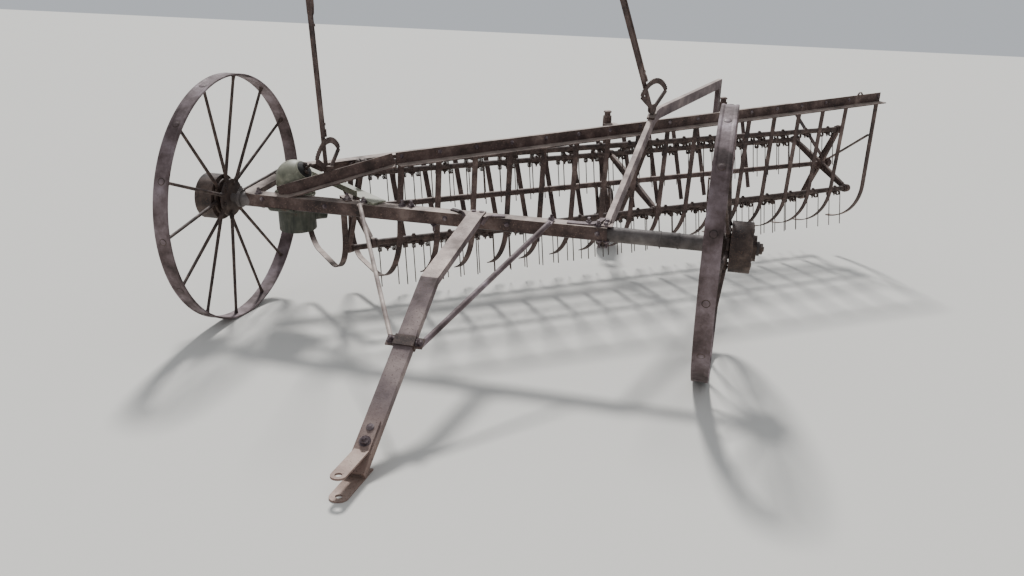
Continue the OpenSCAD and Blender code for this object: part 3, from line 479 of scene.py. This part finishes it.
# %% [markdown]
# ## Fasteners
#
# The rake is held by hexagon bolts with square-edged washers and by round-headed carriage bolts. Each is a
# profile turned round its axis: with six sides it is a hexagon, with twenty it is round. The shapes sit a
# millimetre into what they clamp, so no gap shows under them.

# %% Bolts, nuts and rivets


def hexagon(size, height, washer=1.35):
    """A hexagon head of that size over its corners on a round washer."""
    r = size / 2
    head = lathe([(r, 1.0), (r, height * 0.8), (r * 0.84, height)], around=6)
    disc = lathe([(r * washer, -1.0), (r * washer, 1.6), (r * washer - 0.8, 2.2)], around=18)
    return join(disc, head)


def stud(size, length):
    """A bolt's threaded end with its nut: the thread stands out of the nut."""
    r = size / 2
    return join(hexagon(1.9 * size, 0.85 * size),
                lathe([(r, -1.0), (r, length - 1.5), (r - 1.5, length)], around=12))


def dome(size, height):
    """A round head: a quarter ellipse turned round its axis."""
    a = np.linspace(0, np.pi / 2, 6)[:-1]
    rows = [(size / 2, -1.0)] + [(size / 2 * np.cos(t), height * np.sin(t)) for t in a]
    return lathe(rows + [(1.0, height)], around=18)


print("a hexagon head has", len(hexagon(19, 8)[0]), "points")

# %% [markdown]
# ## Wheels
#
# Each spoke ends in the tread, where it is riveted over, so a row of round rivets shows along the middle of
# the tread, each in a dark ring of painted shade that stands in for the shadow round its head. At the hub the
# spokes go through two flanges and swell into a small collar there. A forged spoke is thicker at the hub than
# at the rim, so a tapered skin goes over the CAD model's straight rod. The outer drum hides the ratchet. It is a
# casting with ribs and a bolted cover, and a nut holds the wheel on.
# The wheel's own frame has its axle along X, outwards, so one set of numbers serves both sides.

# %% Rivets in the tread
SPOKES, SPOKE_PHASE = 14, 8.5
TREAD_R, RIM_IN_R = 631.5, 624.0
spoke_angle = np.radians(SPOKE_PHASE + 360 / SPOKES * np.arange(SPOKES))
radial = np.stack([np.zeros(SPOKES), np.cos(spoke_angle), np.sin(spoke_angle)], -1)
at_rivets = stand(radial * TREAD_R, radial)
# Each rivet stands in a dark ring of painted shade, for the shadow round its head
rivet_shade_rings = stamp(lathe([(18, -1), (18, 0.5), (16, 1.1), (12, 1.1), (1, 1.1)], 20), at_rivets)
rivets = stamp(lathe([(14, -1), (14, 1.4), (11, 2.7), (6, 3.3), (1, 3.5)], 18), at_rivets)
print("rivets every", round(360 / SPOKES, 1), "degrees")

# %% Tapers and collars on the spokes
FLANGE_R, INNER_FLANGE_X, OUTER_FLANGE_X = 80, 19.5, 55.5
out = np.array([1.0, 0, 0])
flange_x = np.where(np.arange(SPOKES) % 2 == 0, INNER_FLANGE_X, OUTER_FLANGE_X)
spoke_in = radial * FLANGE_R + np.outer(flange_x, out)
spoke_way = radial * (RIM_IN_R + 4) - spoke_in
spoke_way /= np.linalg.norm(spoke_way, axis=1, keepdims=True)
collar = lathe([(12.5, 0), (13, 4), (12, 12), (9.5, 22), (8.5, 26)], around=12)
collars = stamp(collar, stand(spoke_in + 14 * spoke_way, spoke_way))
taper = lathe([(9.2, 26), (8.9, 90), (8.2, 330), (7.6, 515), (9.0, 534), (11.0, 545)], around=12)
tapers = stamp(taper, stand(spoke_in, spoke_way))
print("a spoke leans", round(math.degrees(math.asin(abs(spoke_way[1, 0]))), 1), "degrees at most")

# %% Hub bolts, ribs and cover
COVER_X, COVER_BOLT_R = 158, 78
bolt_angle = np.radians(60 * np.arange(6) + 15)
bolt_way = np.stack([np.zeros(6), np.cos(bolt_angle), np.sin(bolt_angle)], -1)
cover_bolts = stamp(hexagon(22, 10), stand(bolt_way * COVER_BOLT_R + COVER_X * out, out))
inner_bolts = stamp(hexagon(19, 8), stand(bolt_way * 76 + 14 * out, -out))
# The ribs stand between the bolts
ribs = join(*[sweep([w * 66 + (COVER_X + 3) * out, w * 112 + (COVER_X + 3) * out], flat(8, 8), np.cross(w, out))
              for w in bolt_way @ turn("x", 30)[:3, :3].T])
bead = lathe([(112, 156), (118, 156), (118.5, 160), (116, 163), (111, 163)], around=48)
cover = lathe([(60, 156), (64, 158), (64, 165), (61, 168)], around=36)
axle_nut = join(lathe([(26, 196), (26, 208), (23, 211)], around=6), lathe([(12, 200), (12, 216)], around=12))
to_x = turn("y", 90)[:3, :3].T
hub_parts = join(collars, cover_bolts, inner_bolts, ribs,
                 *[(points @ to_x, faces) for points, faces in (bead, cover, axle_nut)])
for side, place in WHEELS.items():
    piece(f"{side}_tread_rivets", rivets, place, f"{side}_wheel", wheel_rust)
    piece(f"{side}_rivet_painted_shade", rivet_shade_rings, place, f"{side}_wheel", cast_rust)
    piece(f"{side}_spoke_tapers", tapers, place, f"{side}_wheel", spring_rust)
    piece(f"{side}_hub_details", hub_parts, place, f"{side}_wheel", cast_rust)

# %% [markdown]
# ## Spring teeth
#
# Each tooth is a spring. One wire makes two teeth: it comes up from the first tooth, winds into a coil,
# runs along under the bar to a clip, and winds into a second coil for the second tooth. The coils let a
# tooth yield when it meets a stone. The CAD model has the straight wires, so only the coils, the run
# between them and the bolted clips are added. A coil is a helix with its axis along the bar:
# y and z go round a circle while x moves on by one wire a turn.

# %% Where the teeth are
BEAM_RISE = math.asin(math.sin(math.radians(FRAME_TIP)) * math.sin(math.radians(AZIMUTH)))
strip_turn = BEAM_RISE - math.radians(REEL_RISE)
PITCH, STRIP_FIRST, STRIP_HIGH = 213.0, 31.0, LEG - 8.0
REEL_R, BAR_R, REEL_PHASE = 296.0, 17.0, -27.0
SPIDERS, SPIDER_ROOM = np.array([-2240.0, -380.0, 1290.0]), 46
# Two teeth for each strap, counted from the first strap's place in the reel's own frame
tooth_pitch = PITCH * math.cos(strip_turn) / 2
tooth_first = (STRIP_FIRST * math.cos(strip_turn) - STRIP_HIGH * math.sin(strip_turn)
               - REEL_FROM_KNEE * math.cos(math.radians(REEL_RISE))
               + (knee_at[2] - REEL_MID_Z) * math.sin(math.radians(REEL_RISE)) + tooth_pitch / 2)
tooth_count = int((SPIDERS[2] - SPIDER_ROOM - tooth_first) // tooth_pitch) + 1
teeth = tooth_first + tooth_pitch * np.arange(tooth_count)
print(tooth_count, "teeth a bar, every", round(tooth_pitch, 1), "mm")

# %% Tooth springs
COIL_R, COIL_STEP, WIRE_R = 14.0, 7.0, 3.0
COIL_Y, COIL_Z = 10.0, -31.0
wind = np.linspace(np.pi, 6 * np.pi, 36)
coil = sweep(np.stack([(wind - wind[0]) / (2 * np.pi) * COIL_STEP, COIL_Y + COIL_R * np.cos(wind),
                       COIL_Z + COIL_R * np.sin(wind)], -1), ring(WIRE_R, 6), (1, 0, 0))
mirrored = (coil[0] * [-1, 1, 1], [f[:, ::-1] for f in coil[1]])
pairs = teeth[:tooth_count // 2 * 2].reshape(-1, 2)
wire_run = sweep([(14, COIL_Y - 2, -19), (30, COIL_Y - 4, -19), (tooth_pitch - 30, COIL_Y - 4, -19),
                  (tooth_pitch - 14, COIL_Y - 2, -19)], ring(WIRE_R, 6), (0, 1, 0))
halfway = tooth_pitch / 2
clip = join(sweep([(halfway - 16, 2, -21), (halfway + 16, 2, -21)], flat(30, 9), (0, 1, 0)),
            stamp(hexagon(19, 9), stand([(halfway, 0, BAR_R)], (0, 0, 1))),
            stamp(stud(10, 20), stand([(halfway, 0, -25)], (0, 0, -1))))
first_ones = [shift(x, 0, 0) for x in pairs[:, 0]]
springs = join(stamp(coil, first_ones), stamp(mirrored, [shift(x, 0, 0) for x in pairs[:, 1]]),
               stamp(wire_run, first_ones), stamp(clip, first_ones))
if tooth_count % 2:
    springs = join(springs, stamp(coil, [shift(teeth[-1], 0, 0)]))
stops = lathe([(17, 0), (24, 1), (25, 3), (25, 13), (24, 15), (17, 16)], around=18)
bar_collars = stamp(stops, stand([(x + s * 11, 0, 0) for x in SPIDERS for s in (-1, 1)],
                                 np.array([(s, 0, 0) for _ in SPIDERS for s in (-1.0, 1.0)])))
for k in range(1, 5):
    angle = math.radians(REEL_PHASE + 90 * (k - 1))
    at_bar = REEL @ shift(0, -REEL_R * math.cos(angle), REEL_R * math.sin(angle))
    piece(f"tooth_springs_{k}", join(springs, bar_collars), at_bar, f"tooth_bar_{k}", spring_rust)

# %% [markdown]
# ## Spiders
#
# A spider is the star that carries the four tooth bars. Its arms are pressed channels: a flat web with a
# raised edge along each side. The raised edges are flat bars carried from hub to eye, closer together at
# the eye. Each arm is bolted to the hub, and a head shows on both of its faces.

# %% Spider arms
HUB_END, EYE_END = 34, 262  # where an arm's edges start and end, from the shaft
HUB_HALF, EYE_HALF = 21, 14  # and how far to the side of its middle
edges = []
for k in range(4):
    angle = math.radians(REEL_PHASE + 90 * k)
    way = np.array([0, -math.cos(angle), math.sin(angle)])
    beside = np.cross((1.0, 0, 0), way)
    edges += [sweep([way * HUB_END + beside * s * HUB_HALF, way * EYE_END + beside * s * EYE_HALF],
                    flat(24, 6), (1, 0, 0)) for s in (-1, 1)]
    edges += [stamp(hexagon(17, 8), stand([way * 62 + (s * 5, 0, 0)], (s, 0, 0))) for s in (1.0, -1.0)]
piece("spider_edges", stamp(join(*edges), [shift(x, 0, 0) for x in SPIDERS]), REEL, "reel", frame_rust)

# %% [markdown]
# ## Bolts of the frame
#
# Every strap is held to the beam or the rail by one bolt: a round head in front and a nut behind. They are
# small, but they catch the light in a long even row, and the eye reads that row as a real machine.

# %% Strap bolts
BOLT_HIGH, BOLT_LOW = 40.0, -23.0  # the rows on the beam's leg and on the rail's
STRAP = 6.3  # a strap with its gap to the iron


def strap_row(x, y, z, front):
    """Bolts through the iron and a strap behind it, at each x. Front is the y direction of their heads."""
    spots = np.stack([x, np.full(len(x), y), np.full(len(x), z)], -1)
    return join(stamp(dome(24, 7), stand(spots, (0, front, 0))),
                stamp(stud(11, 18), stand(spots - (0, front * (IRON + STRAP), 0), (0, -front, 0))))


# Straps hang square to the reel and not to the beam, so the front bolts follow their slant. Three bolts stand
# outside the even rows: one at the beam's far end and two near the rail's start
beam_x = np.append(STRIP_FIRST + PITCH * np.arange(16) - 15 * math.tan(strip_turn), 3502.0)
rail_x = np.append([66.0, 348.0], 591 + PITCH * np.arange(14))
piece("strap_bolts_front", strap_row(beam_x, -IRON, BOLT_HIGH, -1.0), BEAM, "frame", bolt_rust)
piece("strap_bolts_rear", strap_row(rail_x, 0.0, BOLT_LOW, 1.0), RAIL, "frame", bolt_rust)

# %% Front bar fasteners
UP = (0.0, 0.0, 1.0)
# Nuts on its upper flange, round heads on its web and the tails of the bolts that come out below
clamp_nuts = stamp(stud(16, 30), stand([(-300, 0, FLANGE_Z), (-252, 2, FLANGE_Z), (-1080, -18, FLANGE_Z),
                                        (690, -20, FLANGE_Z), (640, 4, FLANGE_Z), (-597, 6, 49.2)], UP))
web_heads = stamp(dome(26, 8), stand([(-1050, BAR_FRONT, 22), (-700, BAR_FRONT, 16), (-62, BAR_FRONT, 14),
                                      (250, BAR_FRONT, 14), (690, BAR_FRONT, 12)], (0, -1, 0)))
tails = stamp(stud(12, 34), stand([(-120, -46, -21), (410, -46, -21), (700, -44, -21), (735, -44, -21)],
                                  (0, 0, -1)))
piece("front_bar_bolts", join(clamp_nuts, web_heads, tails), FRAME, "frame", bolt_rust)

# %% [markdown]
# ## Arch
#
# The arch is a channel that stands on edge: it climbs from the front bar, bends at the top beam and runs
# back over the reel to a drop on the rear rail. The CAD arch has the same line, but its broad side is up and
# its corner is sharp, so this piece stands for it. The section is swept along two straight runs that a
# quadratic Bezier curve joins, because a channel bent in a press has no sharp corner. On the front bar only
# the upper flange goes on, as a tongue, since the web would meet the axle pipe.

# %% The arch's line
ARCH_DEEP, ARCH_WIDE = 64.0, 30.0
BEND = 110.0  # how far from its corner the knee starts to bend
ARCH_FOOT = np.array([BAR_LEFT - 10, BAR_FRONT + LEG - 20, FLANGE_Z + 12])
ARCH_KNEE = np.array([786.0, 1262.0, 335.0])
ARCH_END = np.array([*spot(shift(*RAIL_START) @ turn("z", AZIMUTH), (3090.0, -LEG / 2, 0))[:2], 285.0])
arch_step = (ARCH_KNEE - ARCH_FOOT) / np.linalg.norm(ARCH_KNEE - ARCH_FOOT)
arch_run = (ARCH_END - ARCH_KNEE) / np.linalg.norm(ARCH_END - ARCH_KNEE)


def arc(start, corner, end, steps=10):
    """Quadratic Bezier curve: (1 - t)^2 start + 2 t (1 - t) corner + t^2 end."""
    t = np.linspace(0, 1, steps + 1)[:, None]
    return (1 - t) ** 2 * start + 2 * t * (1 - t) * corner + t ** 2 * end


print("the arch climbs", round(math.degrees(math.asin(arch_step[2])), 1), "degrees to its knee")

# %% The arch's section and pieces
PIPE_BACK = 42  # just behind the axle pipe, where there is room for the web


def channel(deep, wide, thick=IRON, cut=3.0):
    """Section of a channel, anticlockwise: its web on the low side of x, its top at zero, corners cut."""
    w = wide / 2
    return np.array([[cut - w, -deep], [w, -deep], [w, thick - deep], [thick - w, thick - deep],
                     [thick - w, -thick], [w, -thick], [w, 0], [cut - w, 0], [-w, -cut], [-w, cut - deep]])


behind_pipe = ARCH_FOOT + arch_step * (PIPE_BACK - ARCH_FOOT[1]) / arch_step[1]
end_back = ARCH_END + arch_run * ARCH_DEEP / 2
arch_line = np.array([behind_pipe, *arc(ARCH_KNEE - BEND * arch_step, ARCH_KNEE, ARCH_KNEE + BEND * arch_run),
                      end_back])
arch_body = sweep(arch_line, channel(ARCH_DEEP, ARCH_WIDE), (-1, 0.05, 0))
# Over the bar: the upper flange alone, and a flat pad under it
tongue = sweep([ARCH_FOOT - 25 * arch_step - (0, 0, IRON / 2), behind_pipe + 8 * arch_step - (0, 0, IRON / 2)],
               flat(ARCH_WIDE, IRON), (-1, 0.05, 0))
pad = sweep([(ARCH_FOOT[0] + x, -6, FLANGE_Z + 2.8) for x in (-32, 32)], flat(46, 5.8), (0, 1, 0))
# At the far end: the same channel, cut and stood on the rail
drop = sweep([end_back - (0, 0, ARCH_DEEP - 2), (end_back[0], end_back[1], FLANGE_Z)],
             channel(ARCH_DEEP, ARCH_WIDE), (-1, 0.2, 0))
arch_up = np.cross(arch_step, (-1, 0.05, 0))
arch_heads = stamp(hexagon(19, 9), stand([ARCH_FOOT + arch_step * t for t in (-10, 20)], arch_up))
bent_arch = piece("bent_arch", join(arch_body, tongue, pad, drop), FRAME, "frame", bleached_rust)
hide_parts("arch")
piece("arch_bolts", arch_heads, FRAME, "frame", bolt_rust)

# %% [markdown]
# ## Small straps of the frame
#
# A few short straps were bent by hand over the bars: two hold the drawbar's seat down on the front bar, and
# one runs from the front bar up on the arch's foot. Each is a flat section swept along five or six points
# that smooth_path rounds. A lug on the far end of the beam once tied the reel down for the road.

# %% Bent straps


def smooth_path(points, steps=5):
    """Catmull-Rom curve through the points: on each span, a cubic whose slopes are half the chord beside it."""
    p = np.asarray(points, float)
    p = np.concatenate([2 * p[:1] - p[1:2], p, 2 * p[-1:] - p[-2:-1]])
    t = np.linspace(0, 1, steps, endpoint=False)[None, :, None]
    a, b, c, d = (p[i:len(p) - 3 + i, None] for i in range(4))
    curve = 0.5 * (2 * b + (c - a) * t + (2 * a - 5 * b + 4 * c - d) * t ** 2 + (3 * b - a - 3 * c + d) * t ** 3)
    return np.concatenate([curve.reshape(-1, 3), p[-2:-1]])


seat_right = sweep(smooth_path([(136, -74, 12), (150, -58, 38), (172, -40, 49), (202, -26, 49), (236, -18, 47)]),
                   flat(26, 6), (0.5, 0.86, 0))
seat_left = sweep(smooth_path([(50, -78, 12), (42, -56, 40), (20, -30, 49), (-8, -8, 49), (-44, 10, 47)]),
                  flat(22, 6), (-0.7, 0.7, 0))
arch_strap = sweep(smooth_path([(540, -11, 46), (600, -11, 46), (650, -8, 48), (685, 5, 53), (703, 40, 62)]),
                   flat(34, 6), (-0.5, 0.86, 0))
piece("bent_straps", join(seat_right, seat_left, arch_strap), FRAME, "frame", wheel_rust)
lug = sweep([(3310, -3.2, 62), (3314, -3.2, 70), (3322, -3.2, 78), (3334, -3.2, 80), (3344, -3.2, 72),
             (3350, -3.2, 62)], flat(12, 6), (0, 1, 0))
piece("beam_lug", lug, BEAM, "frame", frame_rust)

# %% [markdown]
# ## Axle bands
#
# The axle pipe runs in sleeves. A thin band closes each end of a sleeve, and a set screw stands on the collar
# at each end of the pipe. A band is a low ring turned round the axle.

# %% Axle bands
SLEEVE_ENDS, COLLAR_X, COLLAR_R = (975, 1060), 1193.5, 45
band = lathe([(36.4, 0), (39.0, 0.6), (39.0, 9), (36.4, 10)], around=36)
sleeve_bands = [stand([(s * x, 0, WHEEL_R)], (s, 0, 0))[0] for s in (-1, 1) for x in SLEEVE_ENDS]
screws = stamp(stud(12, 20), stand([(s * COLLAR_X, 0, WHEEL_R + COLLAR_R) for s in (-1, 1)], UP))
piece("axle_bands", join(stamp(band, sleeve_bands), screws), GROUND, "frame", pipe_steel)

# %% [markdown]
# ## Drawbar fasteners
#
# The upper hitch plate is held by a round-headed bolt and, below it, a bolt that shows its nut. The brace
# rods end in nuts at the clamp's ears. Their places follow the slope of the drawbar.

# %% Drawbar fasteners
frame_up = TIPPED[:3, :3] @ UP
SLOPE_TOP, SLOPE_FOOT = np.array([-700.0, 546.0]), np.array([-1452.0, 50.0])  # its y and z over the ground
PLATE_JOINS_Z, PLATE_T = 82.0, 8.3
CLAMP_DOWN, EAR_X = 336, 59  # the clamp's place below the slope's top, and its ears to both sides
slope = math.atan2(SLOPE_TOP[1] - SLOPE_FOOT[1], SLOPE_TOP[0] - SLOPE_FOOT[0])
up_slope = np.array([0, math.cos(slope), math.sin(slope)])
off_slope = np.array([0, -math.sin(slope), math.cos(slope)])
join_at = np.array([HITCH[0], SLOPE_FOOT[0] + (PLATE_JOINS_Z - SLOPE_FOOT[1]) / math.tan(slope), PLATE_JOINS_Z])
plate_bolts = join(stamp(dome(32, 7), stand([join_at + up_slope * 98 + off_slope * PLATE_T], off_slope)),
                   stamp(stud(18, 24), stand([join_at + up_slope * 38 + off_slope * PLATE_T], off_slope)))
clamp_at = np.array([HITCH[0], *SLOPE_TOP]) - CLAMP_DOWN * up_slope
ears = stamp(stud(14, 24), stand([clamp_at + (s * EAR_X, 0, 0) - off_slope * 6 for s in (-1, 1)], off_slope))
# Bolts of the brace rods' tabs and of the drawbar's seat, on the front bar
tabs = [spot(TIPPED, (x, -12, FLANGE_Z + 8)) for x in (-500, 462)]
tab_bolts = stamp(stud(14, 24), stand(tabs, frame_up))
seats = [spot(TIPPED, (HITCH[0] + x, 0, FLANGE_Z + 7.3)) for x in (-20, 20)]
seat_bolts = stamp(dome(26, 7), stand(seats, frame_up))
piece("drawbar_bolts", join(plate_bolts, ears, tab_bolts, seat_bolts), GROUND, "frame", bolt_rust)

# %% [markdown]
# ## Gear case
#
# The case is a cast can with a lid. Eight bolts hold the lid down, a ring of them round the seam. The dome
# is open at its side towards the beam: a raised rim, a hole drawn as a dark disc of painted shade, and the
# end of a small shift lever in it. The clamp that holds the case on the axle pipe has bolts of its own.

# %% Gear case details
LID_R, LID_Z = 99, 16.0  # the circle of the lid's bolts
DOME_R, DOME_Z = 94, 96.0
lid_angle = np.radians(45 * np.arange(8) + 10)
lid_at = np.stack([CASE[0] + LID_R * np.cos(lid_angle), CASE[1] + LID_R * np.sin(lid_angle),
                   np.full(8, LID_Z)], -1)
lid_bolts = stamp(hexagon(20, 10), stand(lid_at, UP))
hatch_way = np.array([0.80, -0.05, 0.60])
hatch_at = stand([np.array([*CASE, DOME_Z]) + DOME_R * hatch_way], hatch_way)
# The hole is a dark disc of painted shade that follows a ball 1.5 mm over the dome: height = sqrt(ball^2 - r^2)
bowl = np.array([50.0, 44, 34, 22, 10, 1])
hole = stamp(lathe(np.stack([bowl, np.sqrt((DOME_R + 1.5) ** 2 - bowl ** 2) - DOME_R], -1), 30), hatch_at)
rim = stamp(lathe([(54, -20), (54, -15), (52.5, -11.5), (49, -10), (47.5, -12)], 36), hatch_at)
# The lever's end is a pin with a knob. Two bolt heads sit beside it
shift_lever = join(stamp(lathe([(9, 0), (9, 10), (6, 12), (6, 30), (10, 33), (10, 40), (6, 44)], 14), hatch_at),
                   stamp(hexagon(22, 10), hatch_at @ shift(-18, 14, 2)),
                   stamp(hexagon(18, 8), hatch_at @ shift(16, -18, 2)))
clamp_bolts = stamp(stud(14, 24), stand([(CASE[0] + x, 37, 34) for x in (-50, 50)], (0, 0.74, 0.67)))
piece("gear_case_details", join(lid_bolts, rim, clamp_bolts), FRAME, "frame", green_paint)
# Painted shade, nearly black, on the disc over the dome: it reads as the depth of the hole
hole_shade = rusted("painted_hole_shade", ["#120f0d", "#1c1815", "#28221d"], "#3a3029", rub=0.0, stain_mm=30.0,
                   pit_mm=5.0, relief=0.8)
piece("gear_case_hole", hole, FRAME, "frame", hole_shade)
piece("gear_case_shifter", shift_lever, FRAME, "frame", cast_rust)

# %% [markdown]
# ## Lift levers
#
# A lever is locked by a pawl that drops into the notches of its sector. A thin rod runs along the lever to
# a latch handle beside the grip. The sector's notches are small blocks along its rim, one every few
# degrees. In the lever's frame X is its width, Y its length and Z its thickness.

# %% Levers and sectors
SECTOR_R, SECTOR_T = 170.0, 8.0
PIVOTS = {"rear": ARCH_KNEE - 100 * arch_step + (0, 0, 41.5), "front": (-742.0, 112.0, 152.0)}
LEVERS = {"rear": (900.0, 30.0, -25.0), "front": (790.0, 4.0, 0.0)}  # length, tilt and turn of the sector
notch_angle = np.radians(np.arange(40, 141, 5.0))
notch = sweep([(SECTOR_R - 2, 0, SECTOR_T / 2), (SECTOR_R + 5, 0, SECTOR_T / 2)], flat(SECTOR_T - 1, 7),
              (0, 0, 1))
notches = stamp(notch, [turn("z", math.degrees(t)) for t in notch_angle])
ROD_X, MID_Z = 26.0, 5  # the latch rod's line beside the lever's middle, and half the lever's thickness
for which, pivot in PIVOTS.items():
    length, tilt, plane = LEVERS[which]
    upright = FRAME @ shift(*pivot) @ turn("z", plane + 90) @ turn("x", 90)
    piece(f"{which}_sector_notches", notches, upright, "frame", frame_rust)
    rod_r = 7.0 if which == "rear" else 4.5  # the rear lever's rod is stouter
    latch = sweep([(ROD_X, 196, MID_Z), (ROD_X, length - 20, MID_Z), (ROD_X + 3, length + 10, MID_Z)],
                  ring(rod_r), (0, 0, 1))
    pawl = sweep([(ROD_X, 176, MID_Z), (ROD_X, 216, MID_Z)], flat(16, 12), (0, 0, 1))
    squeeze = sweep([(10, length - 24, MID_Z), (30, length - 4, MID_Z), (38, length + 30, MID_Z),
                     (40, length + 96, MID_Z)], flat(16, 5), (0, 0, 1))
    eyes = [sweep([(8, y, MID_Z), (ROD_X + 8, y, MID_Z)], flat(12, 14), (0, 0, 1)) for y in (240, length - 60)]
    piece(f"{which}_lever_latch", join(latch, pawl, squeeze, *eyes),
          upright @ shift(0, 0, -16) @ turn("z", tilt), f"{which}_lever", frame_rust)

# %% [markdown]
# ## Castors
#
# The rear castors are small cast wheels. Ribs stiffen each wheel's web, and a nut with a washer closes each
# end of the axle. A cap keeps rain out of the swivel sleeve.

# %% Castor details
CASTOR_R, TRAIL = 210, 190  # how high the wheel's axle stands, and how far behind the swivel
for k, rail_at in ((1, 2223.0), (2, 3251.0)):
    sleeve = spot(TIPPED @ shift(*RAIL_START) @ turn("z", AZIMUTH), (rail_at, 80.0, -LEG / 2))
    hub = GROUND @ shift(sleeve[0], sleeve[1] + TRAIL, CASTOR_R)
    nuts = join(*[stamp(hexagon(38, 16), stand([(s * 62, 0, 0)], (s, 0, 0))) for s in (-1.0, 1.0)])
    piece(f"castor_{k}_nuts", nuts, hub, f"castor_{k}", bolt_rust)
    arms = []
    for t in np.radians(60 * np.arange(6)):
        way = np.array([0, math.cos(t), math.sin(t)])
        arms += [sweep([way * 29 + (x, 0, 0), way * 202 + (x, 0, 0)], flat(16, 10, 2), (1, 0, 0))
                 for x in (-13.0, 13.0)]
    piece(f"castor_{k}_ribs", join(*arms), hub, f"castor_{k}_wheel", cast_rust)
    cap = lathe([(25, 0), (28, 3), (28, 8), (20, 14), (4, 17)], around=24)
    piece(f"castor_{k}_cap", cap, GROUND @ shift(sleeve[0], sleeve[1], sleeve[2] + 98), f"castor_{k}",
          frame_rust)

# %% [markdown]
# ## Floor and light
#
# The floor is a wide pale sheet at the height where the wheels stand. A grey sky lights the shade and a wide sun
# gives soft shadows.

# %% Floor, sky and sun
HALF_FLOOR = 60.0  # metres
floor_mesh = bpy.data.meshes.new("floor")
floor_mesh.from_pydata([(x * HALF_FLOOR, y * HALF_FLOOR, -HITCH[2] / 1000)
                        for x, y in ((-1, -1), (1, -1), (1, 1), (-1, 1))], [], [(0, 1, 2, 3)])
floor = bpy.data.objects.new("floor", floor_mesh)
bpy.context.scene.collection.objects.link(floor)
plaster = bpy.data.materials.new("pale_plaster_floor")
plaster.use_nodes = True
plaster.node_tree.nodes["Principled BSDF"].inputs["Base Color"].default_value = srgb("#d9d6cf")
plaster.node_tree.nodes["Principled BSDF"].inputs["Roughness"].default_value = 0.9
floor_mesh.materials.append(plaster)

sky = bpy.data.worlds.new("sky")
bpy.context.scene.world = sky
sky.use_nodes = True
sky.node_tree.nodes["Background"].inputs["Color"].default_value = srgb("#e6ebf2")
sky.node_tree.nodes["Background"].inputs["Strength"].default_value = 0.66
sun = bpy.data.objects.new("sun", bpy.data.lights.new("sun", "SUN"))
sun.data.energy = 3.8
sun.data.angle = math.radians(8)
sun.rotation_euler = (math.radians(-38), math.radians(-18), 0)
bpy.context.scene.collection.objects.link(sun)
print("sky and sun set")

# %% [markdown]
# ## Finish

# %% Finish
bpy.context.view_layer.update()
